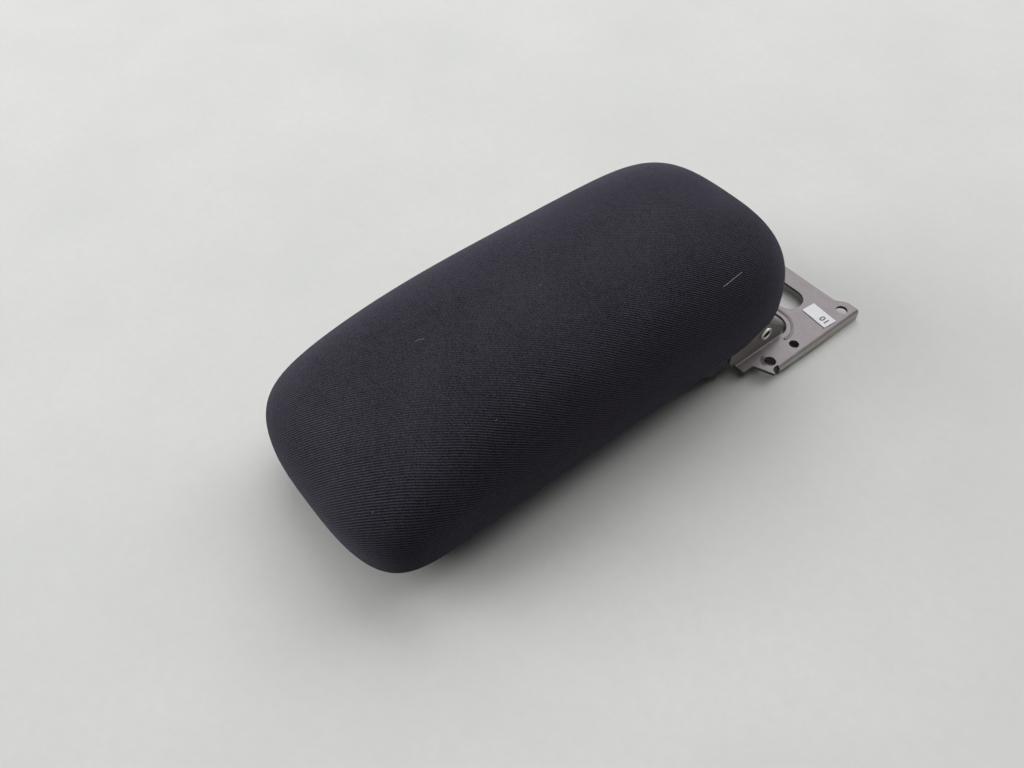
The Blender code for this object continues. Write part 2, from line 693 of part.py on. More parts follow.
def build_hinge_shroud(plan, parent):
    """The flat plastic cover that closes the underside between the hinge arms."""
    front = TRAY_REAR_Y + FIT
    rear = PAD_REAR_Y - FABRIC_TUCK - FIT * 2
    inner = [(x, y) for x, y in plan.ring(TRAY_RIM_INSET) if y > 0 and abs(x) < SHROUD_HALF_WIDTH]
    back = [(x, y + PAD_CENTRE_Y) for x, y in sorted(inner, reverse=True)]
    side_rear = min(min(y for _, y in back), rear) - SHROUD_THICKNESS
    outline = [(SHROUD_HALF_WIDTH, front), (SHROUD_HALF_WIDTH, side_rear)]
    outline += back
    outline += [(-SHROUD_HALF_WIDTH, side_rear), (-SHROUD_HALF_WIDTH, front)]
    holes = [circle(x, y, SCREW_RADIUS + FIT) for x, y in shroud_screw_places()]
    shroud = level_solid("hinge_shroud", [outline] + holes, PAD_BOTTOM,
                         PAD_BOTTOM + SHROUD_THICKNESS)
    return publish(shroud, "hinge_shroud", "black_plastic", parent)


def screw_solid(x, y, seat, length, steps=12):
    """A pan-head screw driven upwards, its head under the seat."""
    crown = SCREW_HEAD_RADIUS * 0.8
    profile = [(0, -SCREW_HEAD), (crown, -SCREW_HEAD), (SCREW_HEAD_RADIUS, -SCREW_HEAD * 0.5),
               (SCREW_HEAD_RADIUS, 0), (SCREW_RADIUS, 0), (SCREW_RADIUS, length - SCREW_RADIUS),
               (SCREW_RADIUS * 0.4, length), (0, length)]
    screw = turned("screw", profile, steps, closed=False)
    screw.location = (x, y, seat - FIT)
    return screw


def build_screws(parent):
    sets = [("cover_screw", cover_screw_places(), TRAY_FLOOR_Z, TRAY_WALL + COVER_PLUG),
            ("shroud_screw", shroud_screw_places(), PAD_BOTTOM, SHROUD_THICKNESS + SHROUD_PLUG),
            ("frame_screw", frame_screw_places(), FRAME_UNDER_Z, SHEET + FRAME_PLUG)]
    for name, places, seat, length in sets:
        for number, (x, y) in enumerate(places, 1):
            screw = screw_solid(x, y, seat, length)
            publish(screw, name + "_" + str(number), "screw_steel", parent)


def bend_section(face_x, flat_z, inside, up, leg_end, tail):
    """Section (x, z) of a sheet that turns from flat to upright at a face.

    The flat runs outwards from the upright when up is true, and inwards otherwise.
    """
    outside = inside + SHEET
    if up:
        cx = face_x + inside
        cz = flat_z + inside
        inner = arc(cx, cz, inside, 180, 270, 4)
        outer = arc(cx, cz, outside, 270, 180, 6)
        start = [(face_x - SHEET, leg_end), (face_x, leg_end)]
        return start + inner + [(cx + tail, flat_z), (cx + tail, flat_z - SHEET)] + outer
    cx = face_x - outside
    cz = flat_z - outside
    outer = arc(cx, cz, outside, 90, 0, 6)
    inner = arc(cx, cz, inside, 0, 90, 4)
    return [(cx - tail, flat_z)] + outer + [(face_x, leg_end), (face_x - SHEET, leg_end)] \
        + inner + [(cx - tail, flat_z - SHEET)]


def for_side(points, side):
    """Points of the left side, or their reflection for the right side."""
    return [(side * x, y) for x, y in points]


def plate_outline():
    """The flat of the bracket, distances from the hinge axis turned into places."""
    bend_x = FLANGE_SIDE - BEND_INSIDE - SHEET
    ear_x = EAR_SIDE + EAR_BEND_INSIDE
    lug = REAR_EDGE + REAR_LUG_BULGE
    half = [(0, REAR_EDGE)]
    for k in range(8):
        share = k / 7
        eased = share * share * (3 - 2 * share)
        half.append((FLANGE_SIDE - REAR_CURVE_IN + REAR_CURVE_WIDTH * share,
                     REAR_EDGE + REAR_LUG_BULGE * eased))
    half += [(bend_x, lug), (bend_x, -FLANGE_FRONT)]
    point_x = FLANGE_SIDE + LUG_POINT_OUT
    for k in range(7):
        turn = math.pi / 2 * k / 6
        half.append((bend_x + (point_x - bend_x) * (1 - math.cos(turn)),
                     -LUG_RELIEF - (LUG_POINT_FRONT - LUG_RELIEF) * math.sin(turn)))
    half += [(point_x, -LUG_POINT_FRONT - LUG_BLUNT)]
    half += [(PRONG_SIDE + LUG_NECK_EASE / 2, -LUG_NECK), (PRONG_SIDE, -LUG_NECK - LUG_NECK_EASE)]
    half += arc(PRONG_SIDE - PRONG_CORNER, -PRONG_FRONT + PRONG_CORNER, PRONG_CORNER, 0, -90, 3)
    half += [(ear_x, -PRONG_FRONT), (ear_x, EAR_REAR - LAP / 2)]
    half += arc(RELIEF_X, EAR_REAR, RELIEF_RADIUS, 0, 90, 8)
    half += [(0, EAR_REAR + RELIEF_RADIUS)]
    return [(x, y + AXIS_Y) for x, y in mirrored(half)]


def plate_holes():
    loops = []
    for side in SIDES.values():
        for place, radius in ((FRONT_HOLE, BOLT_HOLE), (LOCATING_PLACE, LOCATING_HOLE),
                              (REAR_HOLE, BOLT_HOLE)):
            loops.append(circle(side * HOLE_X, AXIS_Y + place, radius))
        half = WINDOW_WIDTH / 2
        low = AXIS_Y + WINDOW_CENTRE - half
        high = AXIS_Y + WINDOW_CENTRE + half
        bridge = WINDOW_BRIDGE / 2
        corners = [(bridge, low), (WINDOW_END, low), (WINDOW_END, high), (bridge, high)]
        window = rounded(corners, [WINDOW_CORNER, half * 0.98, half * 0.98, WINDOW_CORNER], 7)
        loops.append(for_side(window, side))
    return loops


def ear_outline():
    """Side view of a hinge ear as (y, z), before its bend at the foot."""
    foot = PLATE_TOP + EAR_BEND_INSIDE
    crown = arc(AXIS_Y, AXIS_Z, EAR_TOP_RADIUS, 62, 122, 6)
    nose = AXIS_Y - EAR_FRONT
    rear = [(AXIS_Y + EAR_REAR, foot), (AXIS_Y + EAR_REAR, AXIS_Z - EAR_REAR_DROP)]
    front = [(nose + EAR_SHOULDER_RUN, AXIS_Z + EAR_SHOULDER_RISE), (nose, AXIS_Z),
             (nose, AXIS_Z - EAR_NOSE_DROP), (nose + EAR_CHIN_RUN, AXIS_Z - EAR_CHIN_DROP),
             (AXIS_Y - PRONG_FRONT, foot)]
    return rear + crown + front


def bead_path():
    """The raised bead that follows the rear edge of the bracket's mouth."""
    radius = RELIEF_RADIUS + BEAD_OFFSET
    half = arc(RELIEF_X, EAR_REAR, radius, -8, 90, 9)
    path = half + [(-x, y) for x, y in reversed(half)]
    return [(x, y + AXIS_Y, PLATE_TOP - BEAD_SUNK) for x, y in path]


def tube(name, points, radius):
    curve = bpy.data.curves.new(name, "CURVE")
    curve.dimensions = "3D"
    curve.bevel_depth = radius
    curve.bevel_resolution = 2
    curve.use_fill_caps = True
    spline = curve.splines.new("POLY")
    spline.points.add(len(points) - 1)
    for point, place in zip(spline.points, points):
        point.co = (*place, 1)
    obj = bpy.data.objects.new(name, curve)
    helpers.objects.link(obj)
    return frozen(obj)


def build_flange(side):
    """A turned-down edge, deepest at the rear, where it stands on the surface."""
    front = AXIS_Y - FLANGE_FRONT
    rear = AXIS_Y + REAR_EDGE + REAR_LUG_BULGE
    section = bend_section(FLANGE_SIDE, PLATE_TOP, BEND_INSIDE, False, 0, LAP)
    flange = length_solid("flange", [for_side(section, side)], front, rear)
    rise = FLANGE_DEPTH - FLANGE_FRONT_DEPTH
    slope = [(front - LAP, rise), (front, rise), (rear - FLANGE_FOOT, 0),
             (rear - FLANGE_FOOT, -LAP), (front - LAP, -LAP)]
    x_low, x_high = sorted((side * (FLANGE_SIDE - SHEET - LAP), side * (FLANGE_SIDE + LAP)))
    return frozen(cut(flange, side_solid("flange_slope", [slope], x_low, x_high)))


def build_base_bracket():
    """Plate, side flanges, hinge ears and bead, fused as one stamping."""
    bracket = level_solid("base_bracket", [plate_outline()] + plate_holes(),
                          PLATE_TOP - SHEET, PLATE_TOP)
    for side in SIDES.values():
        flange = build_flange(side)
        section = bend_section(EAR_SIDE, PLATE_TOP, EAR_BEND_INSIDE, True,
                               PLATE_TOP + EAR_BEND_INSIDE + LAP, LAP)
        foot = length_solid("ear_foot", [for_side(section, side)], AXIS_Y - PRONG_FRONT,
                            AXIS_Y + EAR_REAR - LAP / 2)
        x_low, x_high = sorted((side * EAR_INNER, side * EAR_SIDE))
        ear = side_solid("ear", [ear_outline(), circle(AXIS_Y, AXIS_Z, PIN_RADIUS + FIT)],
                         x_low, x_high)
        fuse(bracket, flange, foot, ear)
    fuse(bracket, tube("bead", bead_path(), BEAD_RADIUS))
    return publish(bracket, "base_bracket", "bracket_steel")


def on_axis(obj, x, side):
    """Lay a turned piece along the hinge axis, its own +Z pointing outwards."""
    obj.rotation_euler = (0, side * math.pi / 2, 0)
    obj.location = (side * x, AXIS_Y, AXIS_Z)
    return obj


def build_hinge_pin(side_name, side):
    """The hollow rivet, its heads rolled over the ear outside and the washers inside."""
    shank = EAR_SIDE + FIT - PIN_END_FACE
    head = PIN_HEAD_HEIGHT
    lip = PIN_HEAD_RADIUS
    profile = [(PIN_BORE, -head), (PIN_BORE, shank + head * 0.6),
               (PIN_BORE + PIN_ROLL * 0.7, shank + head), (lip - PIN_ROLL, shank + head * 0.9),
               (lip, shank + head * 0.35), (lip, shank), (PIN_RADIUS, shank), (PIN_RADIUS, 0),
               (lip, 0), (lip, -head * 0.5), (lip - PIN_ROLL, -head)]
    pin = on_axis(turned("hinge_pin", profile), PIN_END_FACE, side)
    return publish(pin, "hinge_pin_" + side_name, "bright_steel")


def build_pivot_bush(side_name, side, parent):
    """The flanged nylon bush in the arm's hole."""
    bore = PIN_RADIUS + FIT
    barrel = SHEET + FIT * 2
    profile = [(bore, 0), (bore, barrel + BUSH_FLANGE), (BUSH_FLANGE_RADIUS, barrel + BUSH_FLANGE),
               (BUSH_FLANGE_RADIUS, barrel), (BUSH_OUTER, barrel), (BUSH_OUTER, 0)]
    bush = on_axis(turned("pivot_bush", profile), ARM_INNER - FIT, side)
    return publish(bush, "pivot_bush_" + side_name, "nylon", parent)


def build_wave_washer(side_name, side, parent):
    """The waved spring washer that keeps the hinge from rattling."""
    inner = PIN_RADIUS + FIT
    middle = WAVE_SPACE / 2
    swing = (WAVE_SPACE - WAVE_THICKNESS) / 2
    steps = WAVES * 12
    shape = bmesh.new()
    rows = []
    for radius in (inner, WASHER_RADIUS):
        row = []
        for i in range(steps):
            a = 2 * math.pi * i / steps
            row.append(shape.verts.new((radius * math.cos(a), radius * math.sin(a),
                                        middle + swing * math.cos(WAVES * a))))
        rows.append(row)
    for i in range(steps):
        j = (i + 1) % steps
        shape.faces.new((rows[0][i], rows[0][j], rows[1][j], rows[1][i]))
    washer = object_from_bmesh(shape, "wave_washer")
    thicken(washer, WAVE_THICKNESS, 0)
    on_axis(washer, WAVE_FACE - WAVE_SPACE, side)
    return publish(washer, "wave_washer_" + side_name, "bright_steel", parent)


def build_thrust_washer(side_name, side, parent):
    inner = PIN_RADIUS + FIT
    edge = WASHER_THICKNESS / 6
    profile = [(inner, 0), (inner, WASHER_THICKNESS), (WASHER_RADIUS - edge, WASHER_THICKNESS),
               (WASHER_RADIUS, WASHER_THICKNESS - edge), (WASHER_RADIUS, edge),
               (WASHER_RADIUS - edge, 0)]
    washer = on_axis(turned("thrust_washer", profile), WASHER_FACE - WASHER_THICKNESS, side)
    return publish(washer, "thrust_washer_" + side_name, "bright_steel", parent)


def arm_outline():
    """Side view of a hinge arm as (y, z), from the frame's bend down to its lobe."""
    top = FRAME_TOP_Z - FRAME_BEND_INSIDE - SHEET
    lobe = arc(AXIS_Y, AXIS_Z, ARM_LOBE, 50, -125, 12)
    rear = AXIS_Y + FRAME_REAR
    front = AXIS_Y - FRAME_FRONT
    toe = top - ARM_TOE_DEPTH
    return [(rear, top), (rear, AXIS_Z + ARM_HEEL_RISE)] + lobe + [
        (AXIS_Y - EAR_FRONT + ARM_THROAT_RUN, AXIS_Z + ARM_THROAT_RISE),
        (front + ARM_TOE_RUN, toe - ARM_TOE_FALL), (front, toe), (front, top)]


def build_hinge_frame(parent):
    """The steel saddle inside the pad, whose two arms hang on the pins."""
    flat_x = ARM_SIDE - FRAME_BEND_INSIDE - SHEET
    front = AXIS_Y - FRAME_FRONT
    rear = AXIS_Y + FRAME_REAR
    outline = [(-flat_x, front), (flat_x, front), (flat_x, rear), (-flat_x, rear)]
    middle = (front + rear) / 2
    wide, long = FRAME_WINDOW[0] / 2, FRAME_WINDOW[1] / 2
    holes = [circle(x, y, SCREW_RADIUS + FIT, 12) for x, y in frame_screw_places()]
    for side in SIDES.values():
        x = side * FRAME_WINDOW_X
        holes.append(rounded([(x - wide, middle - long), (x + wide, middle - long),
                              (x + wide, middle + long), (x - wide, middle + long)],
                             FRAME_CORNER))
    frame = level_solid("hinge_frame", [outline] + holes, FRAME_UNDER_Z, FRAME_TOP_Z)
    leg_end = FRAME_TOP_Z - FRAME_BEND_INSIDE - SHEET - LAP
    for side in SIDES.values():
        section = bend_section(ARM_SIDE, FRAME_TOP_Z, FRAME_BEND_INSIDE, False, leg_end, LAP)
        corner = length_solid("frame_bend", [for_side(section, side)], front, rear)
        x_low, x_high = sorted((side * ARM_INNER, side * ARM_SIDE))
        arm = side_solid("arm", [arm_outline(), circle(AXIS_Y, AXIS_Z, BUSH_OUTER + FIT)],
                         x_low, x_high)
        fuse(frame, corner, arm)
    return publish(frame, "hinge_frame", "frame_steel", parent)


def build_paper_label():
    """The small paper sticker between the window and the left flange."""
    shape = bmesh.new()
    bmesh.ops.create_cube(shape, size=1.0)
    bmesh.ops.scale(shape, verts=shape.verts, vec=(*LABEL_SIZE, LABEL_THICKNESS))
    label = object_from_bmesh(shape, "paper_label")
    label.location = (LABEL_X, AXIS_Y + LABEL_BEHIND_AXIS, PLATE_TOP + FIT + LABEL_THICKNESS / 2)
    label.rotation_euler = (0, 0, LABEL_TURN)
    return publish(label, "paper_label", "paper", smooth=False)


def build_armrest():
    axis = bpy.data.objects.new("hinge_axis", None)
    axis.location = (0, AXIS_Y, AXIS_Z)
    parts.objects.link(axis)
    bpy.context.view_layer.update()
    plan = Plan()
    build_base_bracket()
    build_paper_label()
    build_fabric_cover(plan, axis)
    build_foam_pad(plan, axis)
    build_carrier_pan(plan, axis)
    build_lower_cover(axis)
    build_hinge_shroud(plan, axis)
    build_hinge_frame(axis)
    build_screws(axis)
    for side_name, side in SIDES.items():
        build_hinge_pin(side_name, side)
        build_pivot_bush(side_name, side, axis)
        build_wave_washer(side_name, side, axis)
        build_thrust_washer(side_name, side, axis)
        build_rubber_stop(side_name, side, axis)


clear_scene()
parts = make_collection("car_armrest")
helpers = make_collection("car_armrest_cutters")
build_armrest()
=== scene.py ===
"""The car armrest dressed for a picture.

A twill cushion, a stamped steel bracket and moulded covers, on a plain pale floor.
"""
import math

import bmesh
import bpy
import numpy as np
from mathutils import Matrix, Vector
from mathutils.bvhtree import BVHTree


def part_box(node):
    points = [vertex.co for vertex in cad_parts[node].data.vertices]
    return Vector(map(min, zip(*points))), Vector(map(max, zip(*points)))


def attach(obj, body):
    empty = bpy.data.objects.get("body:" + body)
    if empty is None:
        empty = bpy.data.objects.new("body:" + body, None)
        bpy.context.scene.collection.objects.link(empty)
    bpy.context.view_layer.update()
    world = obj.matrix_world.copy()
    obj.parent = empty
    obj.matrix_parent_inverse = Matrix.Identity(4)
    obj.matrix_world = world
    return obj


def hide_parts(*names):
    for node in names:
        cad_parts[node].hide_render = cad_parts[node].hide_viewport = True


MM = 0.001

# Camera, from the fit of the pad's outline to the photograph
IMAGE_SIZE = (1024, 768)
FOCAL_PIXELS = 885.3
SENSOR_WIDTH = 36.0
CAMERA_FROM_PAD = Vector((0.2551, -0.2155, 0.4142))
VIEW_DIRECTION = Vector((-0.5042, 0.3818, -0.7746))
VIEW_UP = Vector((-0.6006, 0.4895, 0.6322))

# Pad form, as in the solid fabric cover
WAIST_RISE = 4.5 * MM
CROWN_FALL = 2.0 * MM
FRONT_CORNER_POWER = 14.2
REAR_CORNER_POWER = 8.0
SIDE_POWER = 2.83
SECTION_POWER = 2.89
FRONT_FALL_POWER = 2.57
REAR_FALL_POWER = 6.66
FALL_ROOT = 2.4

# Pad mesh; the hem's rings are (inset in millimetres, share of the waist's rise)
CORE_SCALE = 0.80
CELLS_ACROSS = 34
CELLS_ALONG = 76
SIDE_RINGS = 17
HEM = ((0.3, 0.55), (0.9, 0.22), (1.7, 0.05), (2.9, 0.0), (4.2, 0.0))
COVER_THICKNESS = 1.3 * MM

# Inflating the pad
HELD_SHARE = 0.9
START_INSET = 1.2 * MM
CLOTH_QUALITY = 6
CLOTH_MASS = 0.25
CLOTH_STIFFNESS = 18
CLOTH_BENDING = 4
PRESSURE = 4.0
LAST_FRAME = 20
SWELL_RANGE = (-0.25 * MM, 0.9 * MM)
MOST_SLIDE = 0.6 * MM

# Lift of the hem over the bracket's ears
LIFT_HALF_FLAT = 12.5 * MM
LIFT_FADE = 9.0 * MM
LIFT_HEIGHT = 2.7 * MM
LIFT_SPAN = 9.0 * MM
LIFT_FROM_X = 50.0 * MM
LIFT_SIDE_FADE = 4.0 * MM

# Twill
RIB_PITCH = 1.22 * MM
RIB_SLOPE = 0.774
YARN_PITCH = 0.85 * MM
WEAVE_DEPTH = 0.11 * MM

# Bracket; a sheared face is no wider than the sheet, within a small allowance
SHEET = 2.0 * MM
SHEET_ALLOWANCE = 1.03
BEND_ANGLE = 28.0
EDGE_SOFTENING = 0.22 * MM
EDGE_ANGLE = 40
FLAT_ANGLE = 0.5
MERGE_DISTANCE = 0.01 * MM
LABEL_GAP = 0.3 * MM

# Dark crescent: a ring round the front hole, kept where a spot beside it overlaps
FRONT_HOLE = (0.0748, 0.0978, 0.008)
CRESCENT_MIDDLE = (0.0712, 0.0938, 0.008)
CRESCENT_SPOTS = ((FRONT_HOLE, 6.3 * MM, 0.9 * MM), (CRESCENT_MIDDLE, 5.0 * MM, 1.6 * MM))
CRESCENT_RAGGED = 1.2 * MM
CRESCENT_MOST = 0.93

# Rivets
RIVET_HEAD = 1.2 * MM
RIVET_BORE = 2.4 * MM
RIVET_SHANK = 3.2 * MM
RIVET_STEPS = 40
HEAD_STEPS = 6
HEAD_ROUNDNESS = 0.7

# Label
LABEL_TEXT = "10"
LABEL_SIZE = 5.9 * MM
LABEL_STROKE = 0.20 * MM
LABEL_SPACING = 1.1
LABEL_TURN = -5
LABEL_SHIFT = (4.8 * MM, -0.5 * MM, 0.03 * MM)
INK_DEPTH = 0.01 * MM

# Lint: image places along each stray fibre, the long one first
LINT = (((723.0, 287.0), (727.8, 283.6), (732.5, 279.6), (737.4, 275.6), (742.0, 272.2)),
        ((415.0, 342.0), (418.4, 339.8), (424.0, 339.0)),
        ((539.2, 285.8), (540.6, 284.4)),
        ((523.2, 404.4), (524.8, 405.6)),
        ((495.4, 420.6), (496.8, 419.6)),
        ((339.4, 417.4), (340.6, 416.2)),
        ((372.4, 512.6), (373.6, 511.6)))
LONG_LINT_RADIUS = 0.09 * MM
SHORT_LINT_RADIUS = 0.11 * MM

# Stage; a light is its name, place, diameter and power
LIGHTS = (("key", (-1.72, -2.16, 1.33), 2.3, 76.0), ("back", (-1.58, 1.17, 2.35), 2.4, 39.0),
          ("side", (-0.05, 2.26, 2.06), 2.5, 36.0), ("top", (0.0, 0.0, 3.06), 3.0, 29.0))
WORLD_TINT = (0.96, 0.98, 1.0, 1)
WORLD_STRENGTH = 0.05
PALE = (0.79, 0.79, 0.78, 1)
FADE = (1.0, 1.8)
FLOOR_SIZE = 12.0


def smooth_step(t):
    t = np.clip(t, 0, 1)
    return t * t * (3 - 2 * t)


class Shader:
    """A small helper that builds a node material with a Principled shader."""

    def __init__(self, name, colour=(0.5, 0.5, 0.5), **values):
        self.material = bpy.data.materials.new(name)
        self.material.use_nodes = True
        self.tree = self.material.node_tree
        self.surface = self.tree.nodes["Principled BSDF"]
        self.set(self.surface, "Base Color", (*colour, 1))
        for key, value in values.items():
            self.set(self.surface, key.replace("_", " "), value)

    def set(self, node, key, value):
        if isinstance(value, bpy.types.NodeSocket):
            self.tree.links.new(value, node.inputs[key])
        else:
            node.inputs[key].default_value = value

    def node(self, kind, output=0, settings=None, **inputs):
        made = self.tree.nodes.new(kind)
        for key, value in (settings or {}).items():
            setattr(made, key, value)
        for key, value in inputs.items():
            slot = int(key[1:]) if key[0] == "i" and key[1:].isdigit() else key.replace("_", " ")
            self.set(made, slot, value)
        return made.outputs[output]

    def math(self, operation, a, b=0.0):
        return self.node("ShaderNodeMath", settings={"operation": operation}, i0=a, i1=b)

    def position(self):
        return self.node("ShaderNodeTexCoord", output=3)

    def stretched(self, vector, scale):
        return self.node("ShaderNodeMapping", i0=vector, Scale=scale)

    def noise(self, vector, scale, detail=3.0, roughness=0.5):
        return self.node("ShaderNodeTexNoise", i0=vector, Scale=scale, Detail=detail,
                         Roughness=roughness)

    def ramp(self, value, low, high, to_low=0.0, to_high=1.0):
        made = self.tree.nodes.new("ShaderNodeMapRange")
        for key, item in (("Value", value), ("From Min", low), ("From Max", high),
                          ("To Min", to_low), ("To Max", to_high)):
            self.set(made, key, item)
        return made.outputs[0]

    def mix(self, share, first, second):
        made = self.tree.nodes.new("ShaderNodeMix")
        made.data_type = "RGBA"
        self.set(made, 0, share)
        self.set(made, 6, first if isinstance(first, bpy.types.NodeSocket) else (*first, 1))
        self.set(made, 7, second if isinstance(second, bpy.types.NodeSocket) else (*second, 1))
        return made.outputs[2]

    def bump(self, height, distance, strength):
        return self.node("ShaderNodeBump", Height=height, Distance=distance, Strength=strength)

    def finish(self, **inputs):
        for key, value in inputs.items():
            self.set(self.surface, key.replace("_", " "), value)
        return self.material


def twill_material():
    """Charcoal twill: slanted ribs of twisted yarn, with a faint soft bloom and painted shade in
    its colour.
    """
    s = Shader("twill", Roughness=0.92)
    weave = s.node("ShaderNodeUVMap", settings={"uv_map": "weave"})
    axes = s.tree.nodes.new("ShaderNodeSeparateXYZ")
    s.set(axes, 0, weave)
    across, along = axes.outputs[0], axes.outputs[1]
    length = math.hypot(1, RIB_SLOPE)
    wander = s.noise(weave, 45.0, 2.0)
    wander = s.math("MULTIPLY", s.math("SUBTRACT", wander, 0.5), 0.8)
    rib_place = s.math("SUBTRACT", across, s.math("MULTIPLY", along, RIB_SLOPE))
    rib_place = s.math("ADD", s.math("MULTIPLY", rib_place, 1 / (length * RIB_PITCH)), wander)
    yarn_place = s.math("ADD", along, s.math("MULTIPLY", across, RIB_SLOPE))
    yarn_place = s.math("MULTIPLY", yarn_place, 1 / (length * YARN_PITCH))
    rib = s.math("SINE", s.math("MULTIPLY", rib_place, math.tau))
    lean = s.math("ADD", yarn_place, s.math("MULTIPLY", rib_place, 0.5))
    yarn = s.math("SINE", s.math("MULTIPLY", lean, math.tau))
    relief = s.math("ADD", s.math("MULTIPLY", rib, 0.62), s.math("MULTIPLY", yarn, 0.20))
    facing = s.tree.nodes.new("ShaderNodeSeparateXYZ")
    s.set(facing, 0, s.node("ShaderNodeTexCoord", output=1))
    # Rib relief faded on upward-facing surfaces: in the colour this is painted light, the flat look
    # of ribs lit from above; it also flattens the bump there.
    top_rib_fade = s.ramp(facing.outputs[2], 0.80, 0.98, 1.0, 0.30)
    relief = s.math("MULTIPLY", relief, top_rib_fade)
    fuzz = s.math("SUBTRACT", s.noise(weave, 1250.0, 3.0, 0.7), 0.5)
    relief = s.math("ADD", relief, s.math("MULTIPLY", fuzz, 3.2))
    patch = s.noise(weave, 24.0, 4.0, 0.6)
    slub = s.noise(weave, 260.0, 3.0, 0.6)
    # The colour follows the weave's relief: painted highlight on the rib crests and painted shade
    # in the valleys; the patch and slub noise is the yarn's own tone.
    crest = s.math("POWER", s.ramp(relief, -1.0, 1.1), 1.6)
    shade = s.math("ADD", crest, s.ramp(patch, 0.3, 0.7, -0.05, 0.05))
    shade = s.math("ADD", shade, s.ramp(slub, 0.3, 0.7, -0.06, 0.06))
    # Painted shade and light: the colour is darkened on the sides and lifted on the top by which
    # way the surface faces.
    shade = s.math("MULTIPLY", shade, s.ramp(facing.outputs[2], 0.2, 0.85, 0.72, 1.13))
    colour = s.mix(shade, (0.0044, 0.0041, 0.0060), (0.073, 0.067, 0.089))
    s.set(s.surface, "Sheen Weight", 0.22)
    s.set(s.surface, "Sheen Roughness", 0.4)
    s.set(s.surface, "Sheen Tint", (0.55, 0.53, 0.68, 1))
    s.set(s.surface, "Specular IOR Level", 0.04)
    return s.finish(Base_Color=colour, Normal=s.bump(relief, WEAVE_DEPTH, 0.9))


def bracket_material():
    """Satin purple-grey plated sheet: fine speckle, soft mottle, a dark crescent by the front hole
    and a painted reflection tone on its sides.
    """
    s = Shader("plated_sheet", Metallic=0.35)
    place = s.position()
    mottle = s.noise(place, 120.0, 4.0, 0.6)
    speckle = s.noise(place, 900.0, 3.0, 0.7)
    grain = s.noise(place, 2600.0, 2.0)
    colour = s.mix(s.ramp(mottle, 0.35, 0.7), (0.142, 0.125, 0.134), (0.186, 0.165, 0.174))
    colour = s.mix(s.ramp(speckle, 0.35, 0.75, 0.0, 0.4), colour, (0.085, 0.073, 0.080))
    # The outward-facing sides get a painted tone from the light they catch: pale olive on the
    # flanges, a painted reflection of the floor, and a dimmer olive-brown on the ear walls, painted
    # shading.
    outward = s.tree.nodes.new("ShaderNodeSeparateXYZ")
    s.set(outward, 0, s.node("ShaderNodeTexCoord", output=1))
    side = s.ramp(s.math("ABSOLUTE", outward.outputs[0]), 0.75, 0.97, 0.0, 0.8)
    across = s.tree.nodes.new("ShaderNodeSeparateXYZ")
    s.set(across, 0, place)
    flange = s.ramp(s.math("ABSOLUTE", across.outputs[0]), 0.070, 0.074)
    colour = s.mix(side, colour, s.mix(flange, (0.200, 0.178, 0.160), (0.485, 0.470, 0.405)))
    colour = s.mix(dark_crescent_share(s, place), colour, (0.018, 0.014, 0.013))
    rough = s.math("ADD", s.ramp(mottle, 0.3, 0.7, 0.36, 0.46),
                   s.ramp(speckle, 0.3, 0.7, -0.05, 0.05))
    height = s.math("ADD", s.math("MULTIPLY", grain, 0.6), s.math("MULTIPLY", speckle, 0.4))
    return s.finish(Base_Color=colour, Roughness=rough, Normal=s.bump(height, 0.015 * MM, 0.5))


def dark_crescent_share(s, place):
    """How dark each place is under the dark crescent at the bracket's front hole."""
    ragged = s.math("MULTIPLY", s.math("SUBTRACT", s.noise(place, 600.0, 3.0), 0.5), CRESCENT_RAGGED)
    share = CRESCENT_MOST
    for spot, radius, soft in CRESCENT_SPOTS:
        gap = s.node("ShaderNodeVectorMath", output=1, settings={"operation": "DISTANCE"},
                     i0=place, i1=spot)
        blot = s.ramp(s.math("ADD", gap, ragged), radius, radius - soft)
        share = s.math("MULTIPLY", share, blot)
    return share


def sheared_material():
    """The dark, rough faces that a press leaves where it cuts a sheet."""
    s = Shader("sheared_edge", Metallic=0.3)
    tear = s.noise(s.stretched(s.position(), (700.0, 700.0, 2200.0)), 1.0, 3.0)
    shade = s.mix(s.ramp(tear, 0.35, 0.7), (0.050, 0.044, 0.046), (0.115, 0.102, 0.100))
    return s.finish(Base_Color=shade, Roughness=s.ramp(tear, 0.3, 0.7, 0.5, 0.7),
                    Normal=s.bump(tear, 0.03 * MM, 0.7))


def steel_material(name, colour, roughness):
    s = Shader(name, colour, Metallic=0.9)
    place = s.position()
    wear = s.noise(place, 260.0, 4.0)
    scratch = s.noise(s.stretched(place, (200.0, 2200.0, 2200.0)), 1.0, 3.0)
    dark = tuple(c * 0.62 for c in colour)
    shade = s.mix(s.ramp(wear, 0.35, 0.65), dark, colour)
    rough = s.ramp(scratch, 0.3, 0.7, roughness - 0.07, roughness + 0.09)
    return s.finish(Base_Color=shade, Roughness=rough, Normal=s.bump(scratch, 0.015 * MM, 0.5))


def plastic_material(name, colour, roughness, grain_scale, depth):
    s = Shader(name, colour, Specular_IOR_Level=0.4)
    place = s.position()
    grain = s.node("ShaderNodeTexVoronoi", i0=place, Scale=grain_scale)
    haze = s.noise(place, 55.0, 3.0)
    pale = tuple(c * 1.7 + 0.004 for c in colour)
    shade = s.mix(s.ramp(haze, 0.4, 0.75, 0.0, 0.6), colour, pale)
    rough = s.ramp(haze, 0.3, 0.7, roughness - 0.05, roughness + 0.07)
    return s.finish(Base_Color=shade, Roughness=rough, Normal=s.bump(grain, depth, 0.6))


